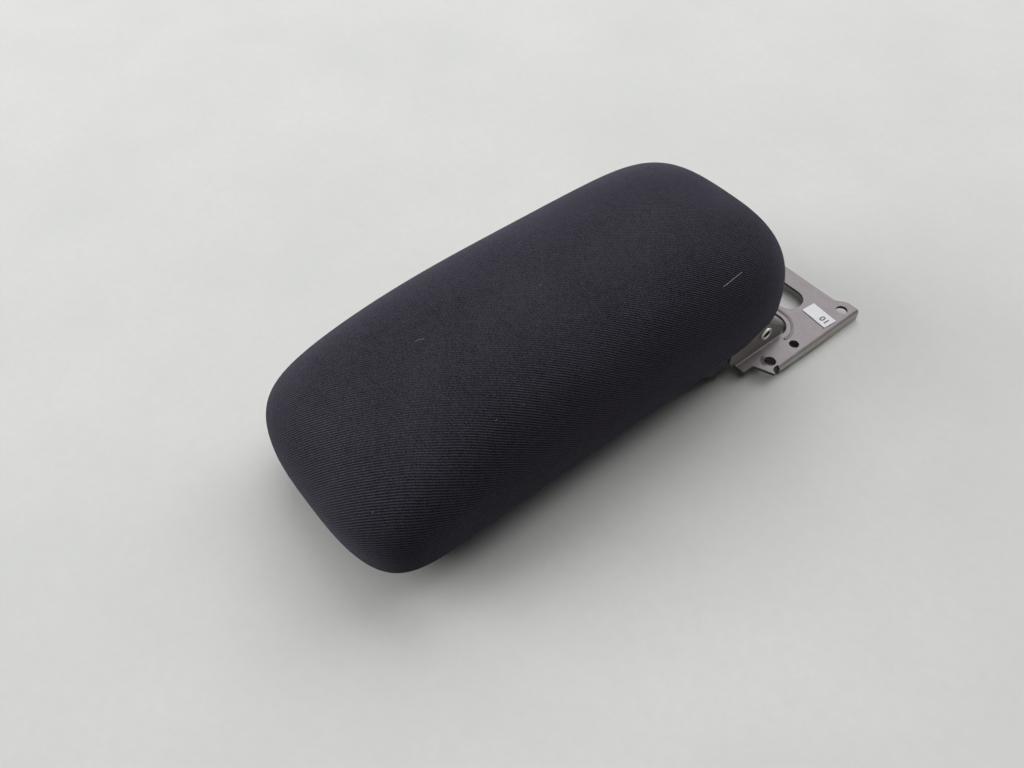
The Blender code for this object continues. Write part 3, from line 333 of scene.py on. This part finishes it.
def rubber_material():
    s = Shader("rubber", (0.016, 0.016, 0.017), Specular_IOR_Level=0.25)
    dust = s.noise(s.position(), 400.0, 3.0)
    shade = s.mix(s.ramp(dust, 0.45, 0.8), (0.016, 0.016, 0.017), (0.05, 0.05, 0.048))
    return s.finish(Base_Color=shade, Roughness=s.ramp(dust, 0.3, 0.7, 0.72, 0.9))


def paper_material():
    s = Shader("label_paper", Specular_IOR_Level=0.3)
    fibre = s.noise(s.position(), 900.0, 4.0)
    shade = s.mix(s.ramp(fibre, 0.3, 0.7), (0.74, 0.72, 0.75), (0.82, 0.81, 0.83))
    return s.finish(Base_Color=shade, Roughness=0.6, Normal=s.bump(fibre, 0.01 * MM, 0.4))


def foam_material():
    s = Shader("foam", Roughness=0.95)
    cell = s.node("ShaderNodeTexVoronoi", i0=s.position(), Scale=900.0)
    shade = s.mix(s.ramp(cell, 0.0, 0.7), (0.42, 0.37, 0.22), (0.66, 0.60, 0.42))
    return s.finish(Base_Color=shade, Normal=s.bump(cell, 0.3 * MM, 0.8))


def paint(obj, *materials):
    places = [p.material_index for p in obj.data.polygons]
    obj.data.materials.clear()
    for material in materials:
        obj.data.materials.append(material)
    if len(materials) > 1:
        obj.data.polygons.foreach_set("material_index", places)


def link(obj):
    bpy.context.scene.collection.objects.link(obj)
    return obj


def shade_smooth(obj, angle=30.0):
    obj.data.shade_smooth()
    obj.data.set_sharp_from_angle(angle=math.radians(angle))


def evaluated(obj):
    """Replace an object by the mesh its modifiers make."""
    bpy.context.view_layer.update()
    graph = bpy.context.evaluated_depsgraph_get()
    mesh = bpy.data.meshes.new_from_object(obj.evaluated_get(graph))
    obj.modifiers.clear()
    obj.data = mesh


class Pad:
    """The outer form of the cushion, measured from the solid cover."""

    def __init__(self):
        low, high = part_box("fabric_cover")
        self.centre = (low.y + high.y) / 2
        self.half = high.x
        self.reach = (high.y - low.y) / 2
        self.bottom = low.z
        self.waist = low.z + WAIST_RISE
        self.crown = high.z

    def height(self, x, y):
        """Height over a point of the plan; y is measured from the pad's middle."""
        t = np.minimum(np.abs(y) / self.reach, 1.0)
        front = np.asarray(y) < 0
        corner = np.where(front, FRONT_CORNER_POWER, REAR_CORNER_POWER)
        fall = np.where(front, FRONT_FALL_POWER, REAR_FALL_POWER)
        half = self.half * np.maximum(1 - t ** corner, 1e-12) ** (1 / SIDE_POWER)
        across = np.minimum(np.abs(x) / half, 1.0)
        rise = self.crown - CROWN_FALL * t * t - self.waist
        rise = rise * np.maximum(1 - t ** fall, 0) ** (1 / FALL_ROOT)
        return self.waist + rise * np.maximum(1 - across ** SECTION_POWER, 0) ** (1 / SECTION_POWER)

    def quarter(self, front):
        """Fine points of one quarter of the outline, from the end's middle to the side's."""
        power = FRONT_CORNER_POWER if front else REAR_CORNER_POWER
        share = np.linspace(0, 1, 3000)
        angle = np.unique(np.concatenate([np.arccos(share ** (power / 2)),
                                          np.arcsin(share ** (SIDE_POWER / 2))]))
        x = self.half * np.sin(angle) ** (2 / SIDE_POWER)
        y = self.reach * np.maximum(np.cos(angle), 0) ** (2 / power)
        return x, y

    def outline(self):
        """Points round the plan, evenly spread between its corners, from the front's middle."""
        front_end, front_side = self.spread(True)
        rear_end, rear_side = self.spread(False)
        half = front_end + front_side[1:] + rear_side[::-1][1:] + rear_end[::-1][1:]
        other = [(-x, y) for x, y in half[::-1]]
        return np.array(half[:-1] + other[:-1])

    def spread(self, front):
        """Even points along half an end and half a side, from the end's middle onwards."""
        x, y = self.quarter(front)
        y = -y if front else y
        run = np.concatenate([[0], np.cumsum(np.hypot(np.diff(x), np.diff(y)))])
        corner = run[np.argmax(x + np.abs(y))]
        pieces = []
        for low, high, count in ((0, corner, CELLS_ACROSS // 2),
                                 (corner, run[-1], CELLS_ALONG // 2)):
            places = np.linspace(low, high, count + 1)
            pieces.append(list(zip(np.interp(places, run, x), np.interp(places, run, y))))
        return pieces

    def ring_scales(self):
        """Scales of the rings from the core out to the waist, evenly spaced up the side."""
        angle = np.linspace(0, math.pi / 2, 4000)
        across = np.cos(angle) ** (2 / SECTION_POWER)
        up = np.sin(angle) ** (2 / SECTION_POWER)
        run = np.concatenate([[0], np.cumsum(np.hypot(np.diff(across) * self.half,
                                                      np.diff(up) * (self.crown - self.waist)))])
        top = run[np.argmin(np.abs(across - CORE_SCALE))]
        return np.interp(np.linspace(top, 0, SIDE_RINGS + 1), run, across)

    def arc(self, x, y, along):
        """Length over the surface from the pad's middle line to a point, across or along."""
        share = np.linspace(0, 1, 160)[:, None]
        px = x[None, :] if along else x[None, :] * share
        py = y[None, :] * share if along else y[None, :]
        z = self.height(px + 0 * share, py + 0 * share)
        flat = np.diff(py if along else px, axis=0)
        return np.sign(y if along else x) * np.hypot(flat, np.diff(z, axis=0)).sum(axis=0)


def core_grid(border):
    """Fill a closed loop of border points with a grid, blended from its four sides."""
    m, n = CELLS_ACROSS, CELLS_ALONG
    start = m // 2
    loop = np.roll(border, -start, axis=0)
    right = loop[:n + 1]
    top = loop[n:n + m + 1]
    left = loop[n + m:2 * n + m + 1][::-1]
    bottom = np.vstack([loop[2 * n + m:], loop[:1]])
    u = np.linspace(0, 1, m + 1)[:, None, None]
    v = np.linspace(0, 1, n + 1)[None, :, None]
    top = top[::-1]
    sides = (1 - u) * left[None, :] + u * right[None, :]
    ends = (1 - v) * bottom[:, None] + v * top[:, None]
    corners = ((1 - u) * (1 - v) * left[0] + u * (1 - v) * right[0]
               + (1 - u) * v * left[-1] + u * v * right[-1])
    return sides + ends - corners


def pad_mesh(pad):
    """The cushion's outer mesh: a grid over its top, then rings down to the tucked hem.

    Returns the points, the same points laid flat as the cloth is cut, and the faces.
    """
    border = pad.outline()
    count = len(border)
    m, n = CELLS_ACROSS, CELLS_ALONG
    grid = core_grid(border * CORE_SCALE)
    index = np.arange((m + 1) * (n + 1)).reshape(m + 1, n + 1)
    last = ([index[i, 0] for i in range(m // 2, m)] + [index[m, j] for j in range(n)]
            + [index[i, n] for i in range(m, 0, -1)] + [index[0, j] for j in range(n, 0, -1)]
            + [index[i, 0] for i in range(m // 2)])
    faces = [(index[i, j], index[i + 1, j], index[i + 1, j + 1], index[i, j + 1])
             for i in range(m) for j in range(n)]
    outward = outward_of(border)
    flat = [grid.reshape(-1, 2)] + [border * scale for scale in pad.ring_scales()[1:]]
    points = [np.column_stack([part, pad.height(part[:, 0], part[:, 1])]) for part in flat]
    drop = [np.zeros_like(part) for part in flat]
    run = np.zeros(count)
    for inset, share in HEM:
        ring = np.column_stack([border - outward * inset * MM,
                                np.full(count, pad.bottom + share * WAIST_RISE)])
        run = run + np.linalg.norm(ring - points[-1], axis=1)
        points.append(ring)
        flat.append(border)
        drop.append(outward * run[:, None])
    start = len(flat[0])
    for k in range(len(points) - 1):
        here = list(range(start + k * count, start + (k + 1) * count))
        faces += [(last[i], here[i], here[(i + 1) % count], last[(i + 1) % count])
                  for i in range(count)]
        last = here
    flat, drop = np.vstack(flat), np.vstack(drop)
    laid = np.column_stack([pad.arc(flat[:, 0], flat[:, 1], False),
                            pad.arc(flat[:, 0], flat[:, 1], True)]) + drop
    return np.vstack(points) + (0, pad.centre, 0), laid, faces


def outward_of(loop):
    """Outward directions at the points of an anticlockwise loop."""
    step = np.roll(loop, -1, axis=0) - np.roll(loop, 1, axis=0)
    normal = np.column_stack([step[:, 1], -step[:, 0]])
    return normal / np.linalg.norm(normal, axis=1)[:, None]


def mesh_object(name, points, faces):
    mesh = bpy.data.meshes.new(name)
    mesh.from_pydata([tuple(p) for p in points], [], [tuple(int(i) for i in f) for f in faces])
    obj = link(bpy.data.objects.new(name, mesh))
    shape = bmesh.new()
    shape.from_mesh(mesh)
    bmesh.ops.recalc_face_normals(shape, faces=shape.faces)
    shape.normal_update()
    middle = Vector(np.asarray(points).mean(axis=0))
    if sum((f.calc_center_median() - middle).dot(f.normal) for f in shape.faces) < 0:
        bmesh.ops.reverse_faces(shape, faces=shape.faces)
    shape.to_mesh(mesh)
    shape.free()
    return obj


def coordinates(obj):
    values = np.empty(len(obj.data.vertices) * 3)
    obj.data.vertices.foreach_get("co", values)
    return values.reshape(-1, 3)


def set_coordinates(obj, points):
    obj.data.vertices.foreach_set("co", np.asarray(points, float).ravel())
    obj.data.update()


def vertex_normals(obj):
    values = np.empty(len(obj.data.vertices) * 3)
    obj.data.vertices.foreach_get("normal", values)
    return values.reshape(-1, 3)


def inflate(obj, held):
    """Let the cover swell a little under pressure, with its hem held, and keep the result."""
    final = coordinates(obj)
    normals = vertex_normals(obj)
    free = np.ones(len(final), bool)
    free[held] = False
    start = final - normals * (START_INSET * free)[:, None]
    set_coordinates(obj, start)
    group = obj.vertex_groups.new(name="hem")
    group.add([int(i) for i in held], 1.0, "REPLACE")
    cloth = obj.modifiers.new("swell", "CLOTH")
    settings = cloth.settings
    settings.quality = CLOTH_QUALITY
    settings.mass = CLOTH_MASS
    settings.tension_stiffness = CLOTH_STIFFNESS
    settings.compression_stiffness = CLOTH_STIFFNESS
    settings.bending_stiffness = CLOTH_BENDING
    settings.use_pressure = True
    settings.uniform_pressure_force = PRESSURE
    settings.vertex_group_mass = "hem"
    settings.effector_weights.gravity = 0
    cloth.collision_settings.use_collision = False
    cloth.point_cache.frame_start = 1
    cloth.point_cache.frame_end = LAST_FRAME
    scene = bpy.context.scene
    for frame_number in range(1, LAST_FRAME + 1):
        scene.frame_set(frame_number)
    graph = bpy.context.evaluated_depsgraph_get()
    moved = coordinates(obj.evaluated_get(graph)) - final
    obj.modifiers.clear()
    obj.vertex_groups.clear()
    scene.frame_set(1)
    out = (moved * normals).sum(axis=1)[:, None]
    slide = moved - out * normals
    size = np.linalg.norm(slide, axis=1)[:, None]
    slide = slide * np.minimum(1, MOST_SLIDE / np.maximum(size, 1e-9))
    set_coordinates(obj, final + np.clip(out, *SWELL_RANGE) * normals + slide)


def lift_hem(obj, pad, axis_y):
    """Raise the hem where the bracket's ears pass up inside it."""
    points = coordinates(obj)
    near = 1 - smooth_step((np.abs(points[:, 1] - axis_y) - LIFT_HALF_FLAT) / LIFT_FADE)
    side = smooth_step((np.abs(points[:, 0]) - LIFT_FROM_X) / LIFT_SIDE_FADE)
    low = 1 - smooth_step((points[:, 2] - pad.bottom) / LIFT_SPAN)
    points[:, 2] += LIFT_HEIGHT * near * side * low
    set_coordinates(obj, points)


def build_cushion():
    pad = Pad()
    points, laid, faces = pad_mesh(pad)
    cushion = mesh_object("cushion", points, faces)
    layer = cushion.data.uv_layers.new(name="weave")
    corner = np.empty(len(cushion.data.loops), int)
    cushion.data.loops.foreach_get("vertex_index", corner)
    layer.data.foreach_set("uv", laid[corner].ravel())
    held = np.nonzero(points[:, 2] <= pad.bottom + WAIST_RISE * HELD_SHARE)[0]
    inflate(cushion, held)
    axis_low, axis_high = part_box("hinge_pin_left")
    lift_hem(cushion, pad, (axis_low.y + axis_high.y) / 2)
    cushion.data.shade_smooth()
    finer = cushion.modifiers.new("finer", "SUBSURF")
    finer.levels = 1
    finer.render_levels = 1
    wall = cushion.modifiers.new("wall", "SOLIDIFY")
    wall.thickness = COVER_THICKNESS
    wall.offset = -1
    evaluated(cushion)
    cushion.data.shade_smooth()
    paint(cushion, twill_material())
    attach(cushion, "armrest")
    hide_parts("fabric_cover")
    return cushion


def smooth_regions(shape):
    """Groups of faces that run into each other round bends, with no sharp edge between."""
    seen = set()
    for first in shape.faces:
        if first in seen:
            continue
        seen.add(first)
        region, waiting = [], [first]
        while waiting:
            face = waiting.pop()
            region.append(face)
            for edge in face.edges:
                if len(edge.link_faces) == 2 and edge.calc_face_angle() < math.radians(BEND_ANGLE):
                    fresh = [f for f in edge.link_faces if f not in seen]
                    seen.update(fresh)
                    waiting += fresh
        yield region


def mark_sheared(shape, plate_top):
    """Give the second material to the narrow faces where the sheet was cut through."""
    for region in smooth_regions(shape):
        inside = set(region)
        area = sum(f.calc_area() for f in region)
        rim = sum(e.calc_length() for f in region for e in f.edges
                  if not all(other in inside for other in e.link_faces))
        raised = min(v.co.z for f in region for v in f.verts) > plate_top - 0.1 * MM
        bead = raised and max(v.co.z for f in region for v in f.verts) < plate_top + SHEET
        if not bead and 2 * area / rim < SHEET * SHEET_ALLOWANCE:
            for face in region:
                face.material_index = 1


def bevelled(node, name, width, body, materials):
    """A copy of a sheet-metal node with its sheared edges softened."""
    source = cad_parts[node]
    obj = link(bpy.data.objects.new(name, source.data.copy()))
    shape = bmesh.new()
    shape.from_mesh(obj.data)
    bmesh.ops.remove_doubles(shape, verts=shape.verts, dist=MERGE_DISTANCE)
    bmesh.ops.dissolve_limit(shape, angle_limit=math.radians(FLAT_ANGLE), verts=shape.verts,
                             edges=shape.edges)
    shape.normal_update()
    for face in shape.faces:
        face.material_index = 0
    mark_sheared(shape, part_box("paper_label")[0].z - LABEL_GAP)
    shape.to_mesh(obj.data)
    shape.free()
    shade_smooth(obj)
    edge = obj.modifiers.new("edge", "BEVEL")
    edge.width = width
    edge.segments = 2
    edge.limit_method = "ANGLE"
    edge.angle_limit = math.radians(EDGE_ANGLE)
    edge.use_clamp_overlap = True
    edge.harden_normals = True
    weighted = obj.modifiers.new("even", "WEIGHTED_NORMAL")
    weighted.keep_sharp = True
    weighted.weight = 100
    evaluated(obj)
    paint(obj, *materials)
    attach(obj, body)
    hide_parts(node)


def dress_nodes():
    """Give the solids that stay their finished materials."""
    bright = steel_material("bright_steel", (0.62, 0.60, 0.57), 0.24)
    zinc = steel_material("zinc_screws", (0.42, 0.40, 0.34), 0.36)
    plain = steel_material("frame_steel", (0.32, 0.32, 0.32), 0.42)
    black = plastic_material("black_plastic", (0.010, 0.010, 0.011), 0.52, 2400.0, 0.05 * MM)
    grey = plastic_material("grey_plastic", (0.085, 0.085, 0.085), 0.5, 1800.0, 0.03 * MM)
    nylon = plastic_material("nylon", (0.62, 0.61, 0.56), 0.42, 1200.0, 0.01 * MM)
    rubber = rubber_material()
    foam = foam_material()
    paper = paper_material()
    choices = (("wave_washer", bright), ("thrust_washer", bright),
               ("cover_screw", zinc), ("shroud_screw", zinc), ("frame_screw", zinc),
               ("hinge_frame", plain), ("lower_cover", black), ("hinge_shroud", black),
               ("carrier_pan", grey), ("pivot_bush", nylon), ("rubber_stop", rubber),
               ("foam_pad", foam), ("paper_label", paper))
    for name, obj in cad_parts.items():
        for start, material in choices:
            if name.startswith(start):
                paint(obj, material)


def lathed(name, profile, axis_y, axis_z, side, inside):
    """Turn a closed profile of (distance along X, radius) round the hinge axis.

    Faces nearer to the axis than inside get the second material.
    """
    shape = bmesh.new()
    rings = []
    for step in range(RIVET_STEPS):
        turn = math.tau * step / RIVET_STEPS
        rings.append([shape.verts.new((side * x, axis_y + radius * math.cos(turn),
                                       axis_z + radius * math.sin(turn)))
                      for x, radius in profile])
    count = len(profile)
    for step in range(RIVET_STEPS):
        here, after = rings[step], rings[(step + 1) % RIVET_STEPS]
        for k in range(count):
            face = shape.faces.new((here[k], here[(k + 1) % count], after[(k + 1) % count],
                                    after[k]))
            face.material_index = int(max(profile[k][1], profile[(k + 1) % count][1]) < inside)
    bmesh.ops.recalc_face_normals(shape, faces=shape.faces)
    mesh = bpy.data.meshes.new(name)
    shape.to_mesh(mesh)
    shape.free()
    obj = link(bpy.data.objects.new(name, mesh))
    shade_smooth(obj, 50.0)
    return obj


def rolled_head(face, depth, rim):
    """The round section of a rolled rivet head, from its bore out to its rim."""
    middle = (RIVET_BORE + rim) / 2
    half = (rim - RIVET_BORE) / 2
    turns = [math.pi * step / HEAD_STEPS for step in range(HEAD_STEPS + 1)]
    return [(face + depth * math.sin(turn) ** HEAD_ROUNDNESS, middle - half * math.cos(turn))
            for turn in turns]


def build_rivets():
    """Hollow rivets with rolled heads, finely turned, on the solid pins' places."""
    steel = steel_material("rivet_steel", (0.60, 0.585, 0.565), 0.42)
    # The bore and the inner edge of the rolled heads are painted near-black: painted shade inside
    # the hollow rivet.
    bore_shade = steel_material("rivet_bore", (0.045, 0.040, 0.036), 0.6)
    for hand, side in (("left", 1), ("right", -1)):
        node = "hinge_pin_" + hand
        low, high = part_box(node)
        inner, outer = sorted((abs(low.x), abs(high.x)))
        axis_y, axis_z = (low.y + high.y) / 2, (low.z + high.z) / 2
        rim = (high.z - low.z) / 2
        head = rolled_head(outer - RIVET_HEAD, RIVET_HEAD, rim)
        foot = rolled_head(inner + RIVET_HEAD, -RIVET_HEAD, rim)
        profile = head + [(outer - RIVET_HEAD, RIVET_SHANK), (inner + RIVET_HEAD, RIVET_SHANK)]
        profile += foot[::-1]
        rivet = lathed("rivet_" + hand, profile, axis_y, axis_z, side, RIVET_BORE * 1.12)
        paint(rivet, steel, bore_shade)
        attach(rivet, "bracket")
        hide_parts(node)


def build_label_print():
    """Two plain digits near the outer end of the paper label."""
    low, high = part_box("paper_label")
    centre = (low + high) / 2
    curve = bpy.data.curves.new("label_print", "FONT")
    curve.body = LABEL_TEXT
    curve.size = LABEL_SIZE
    curve.offset = LABEL_STROKE
    curve.align_x = "CENTER"
    curve.align_y = "CENTER"
    curve.extrude = INK_DEPTH
    curve.space_character = LABEL_SPACING
    text = link(bpy.data.objects.new("label_print", curve))
    text.rotation_euler = (0, 0, math.pi + math.radians(LABEL_TURN))
    text.location = Vector((centre.x, centre.y, high.z)) + Vector(LABEL_SHIFT)
    bpy.context.view_layer.update()
    mesh = bpy.data.meshes.new_from_object(text)
    obj = link(bpy.data.objects.new("label_digits", mesh))
    obj.matrix_world = text.matrix_world.copy()
    bpy.data.objects.remove(text)
    ink = Shader("ink", (0.03, 0.03, 0.035), Roughness=0.5)
    smudge = ink.noise(ink.position(), 1500.0, 3.0)
    paint(obj, ink.finish(Base_Color=ink.mix(ink.ramp(smudge, 0.3, 0.7), (0.02, 0.02, 0.025),
                                             (0.10, 0.10, 0.11))))
    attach(obj, "bracket")


def camera_axes():
    ahead = VIEW_DIRECTION.normalized()
    right = ahead.cross(VIEW_UP).normalized()
    return right, right.cross(ahead), ahead


def pixel_on(tree, place, pixel):
    """Where the camera's ray through a pixel meets a surface, and the surface's normal."""
    right, up, ahead = camera_axes()
    across = (pixel[0] - IMAGE_SIZE[0] / 2) / FOCAL_PIXELS
    down = (pixel[1] - IMAGE_SIZE[1] / 2) / FOCAL_PIXELS
    hit, normal, _, _ = tree.ray_cast(place, ahead + right * across - up * down)
    return hit, normal


def build_fibre(name, tree, place, pixels, radius, material):
    """A stray fibre of lint that lies on the cushion along a few places."""
    curve = bpy.data.curves.new(name, "CURVE")
    curve.dimensions = "3D"
    curve.bevel_depth = radius
    curve.bevel_resolution = 1
    curve.use_fill_caps = True
    spline = curve.splines.new("POLY")
    places = []
    for pixel in pixels:
        hit, normal = pixel_on(tree, place, pixel)
        places.append(hit + normal * radius * 1.2)
    spline.points.add(len(places) - 1)
    for point, spot in zip(spline.points, places):
        point.co = (*spot, 1)
    source = link(bpy.data.objects.new(name + "_path", curve))
    bpy.context.view_layer.update()
    mesh = bpy.data.meshes.new_from_object(source)
    obj = link(bpy.data.objects.new(name, mesh))
    bpy.data.objects.remove(source)
    obj.data.shade_smooth()
    paint(obj, material)
    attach(obj, "armrest")


def lint_material(name, low, high):
    """Pale, slightly cool fluff between two tones."""
    s = Shader(name, Roughness=0.8)
    tone = s.noise(s.position(), 800.0, 2.0)
    return s.finish(Base_Color=s.mix(tone, (low, low, low * 1.1), (high, high, high * 1.03)))


def build_lint(cushion, place):
    """The stray fibres that lie on the cushion: one long, the others short and fainter."""
    bpy.context.view_layer.update()
    tree = BVHTree.FromPolygons([cushion.matrix_world @ v.co for v in cushion.data.vertices],
                                [tuple(p.vertices) for p in cushion.data.polygons])
    long, short = lint_material("lint", 0.40, 0.70), lint_material("lint_speck", 0.16, 0.30)
    for number, pixels in enumerate(LINT, 1):
        radius, fibre = (LONG_LINT_RADIUS, long) if number == 1 else (SHORT_LINT_RADIUS, short)
        build_fibre("lint_" + str(number), tree, place, pixels, radius, fibre)


def build_camera(place):
    right, up, ahead = camera_axes()
    data = bpy.data.cameras.new("camera")
    data.sensor_width = SENSOR_WIDTH
    data.lens = FOCAL_PIXELS * SENSOR_WIDTH / IMAGE_SIZE[0]
    data.clip_start = 0.01
    data.clip_end = 50
    camera = link(bpy.data.objects.new("camera", data))
    turn = Matrix((right, up, -ahead)).transposed().to_4x4()
    camera.matrix_world = Matrix.Translation(place) @ turn
    bpy.context.scene.camera = camera


def build_floor():
    """A plain pale floor that fades into the background far from the part."""
    s = Shader("floor", Roughness=0.75, Specular_IOR_Level=0.15)
    place = s.position()
    cloud = s.noise(place, 7.0, 5.0, 0.6)
    fine = s.noise(place, 160.0, 4.0, 0.65)
    shade = s.mix(s.ramp(cloud, 0.35, 0.68), (0.578, 0.586, 0.566), (0.622, 0.626, 0.612))
    shade = s.mix(s.ramp(fine, 0.3, 0.75, 0.0, 0.35), shade, (0.535, 0.540, 0.525))
    floor_material = s.finish(Base_Color=shade)
    far = s.node("ShaderNodeVectorMath", output=1, settings={"operation": "LENGTH"}, i0=place)
    seen = s.node("ShaderNodeLightPath", output=0)
    share = s.math("MULTIPLY", s.ramp(far, *FADE), seen)
    haze = s.node("ShaderNodeEmission", Color=PALE)
    mixed = s.node("ShaderNodeMixShader", i0=share, i1=s.surface.outputs[0], i2=haze)
    s.tree.links.new(mixed, s.tree.nodes["Material Output"].inputs["Surface"])
    shape = bmesh.new()
    bmesh.ops.create_grid(shape, x_segments=2, y_segments=2, size=FLOOR_SIZE)
    mesh = bpy.data.meshes.new("floor")
    shape.to_mesh(mesh)
    shape.free()
    floor = link(bpy.data.objects.new("floor", mesh))
    paint(floor, floor_material)


def build_lights():
    """Soft disks of light that face the part and stay out of the picture."""
    for name, spot, size, power in LIGHTS:
        light = bpy.data.lights.new(name, "AREA")
        light.shape = "DISK"
        light.size = size
        light.energy = power
        lamp = link(bpy.data.objects.new(name, light))
        lamp.location = spot
        lamp.visible_camera = False
        lamp.rotation_euler = (-Vector(spot)).to_track_quat("-Z", "Y").to_euler()


def build_world():
    """Weak fill light, in front of a background that the camera and reflections see as pale."""
    world = bpy.data.worlds.new("studio")
    world.use_nodes = True
    tree = world.node_tree
    fill = tree.nodes["Background"]
    fill.inputs["Color"].default_value = WORLD_TINT
    fill.inputs["Strength"].default_value = WORLD_STRENGTH
    pale = tree.nodes.new("ShaderNodeBackground")
    pale.inputs["Color"].default_value = PALE
    path = tree.nodes.new("ShaderNodeLightPath")
    share = path.outputs["Is Camera Ray"]
    for kind in ("Is Glossy Ray", "Is Transmission Ray"):
        most = tree.nodes.new("ShaderNodeMath")
        most.operation = "MAXIMUM"
        tree.links.new(share, most.inputs[0])
        tree.links.new(path.outputs[kind], most.inputs[1])
        share = most.outputs[0]
    both = tree.nodes.new("ShaderNodeMixShader")
    tree.links.new(share, both.inputs[0])
    tree.links.new(fill.outputs[0], both.inputs[1])
    tree.links.new(pale.outputs[0], both.inputs[2])
    tree.links.new(both.outputs[0], tree.nodes["World Output"].inputs["Surface"])
    bpy.context.scene.world = world
    bpy.context.scene.view_settings.view_transform = "Standard"


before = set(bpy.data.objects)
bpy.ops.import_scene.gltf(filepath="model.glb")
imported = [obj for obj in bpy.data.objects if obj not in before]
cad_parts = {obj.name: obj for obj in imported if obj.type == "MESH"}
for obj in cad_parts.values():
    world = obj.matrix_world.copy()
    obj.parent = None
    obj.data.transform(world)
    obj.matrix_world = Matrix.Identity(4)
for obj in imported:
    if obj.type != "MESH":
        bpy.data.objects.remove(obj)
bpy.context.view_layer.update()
cover_low, cover_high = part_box("fabric_cover")
camera_place = CAMERA_FROM_PAD + Vector((0, (cover_low.y + cover_high.y) / 2, 0))
build_camera(camera_place)
build_floor()
build_lights()
build_world()
dress_nodes()
bevelled("base_bracket", "bracket", EDGE_SOFTENING, "bracket",
         (bracket_material(), sheared_material()))
build_rivets()
cushion = build_cushion()
build_label_print()
build_lint(cushion, camera_place)
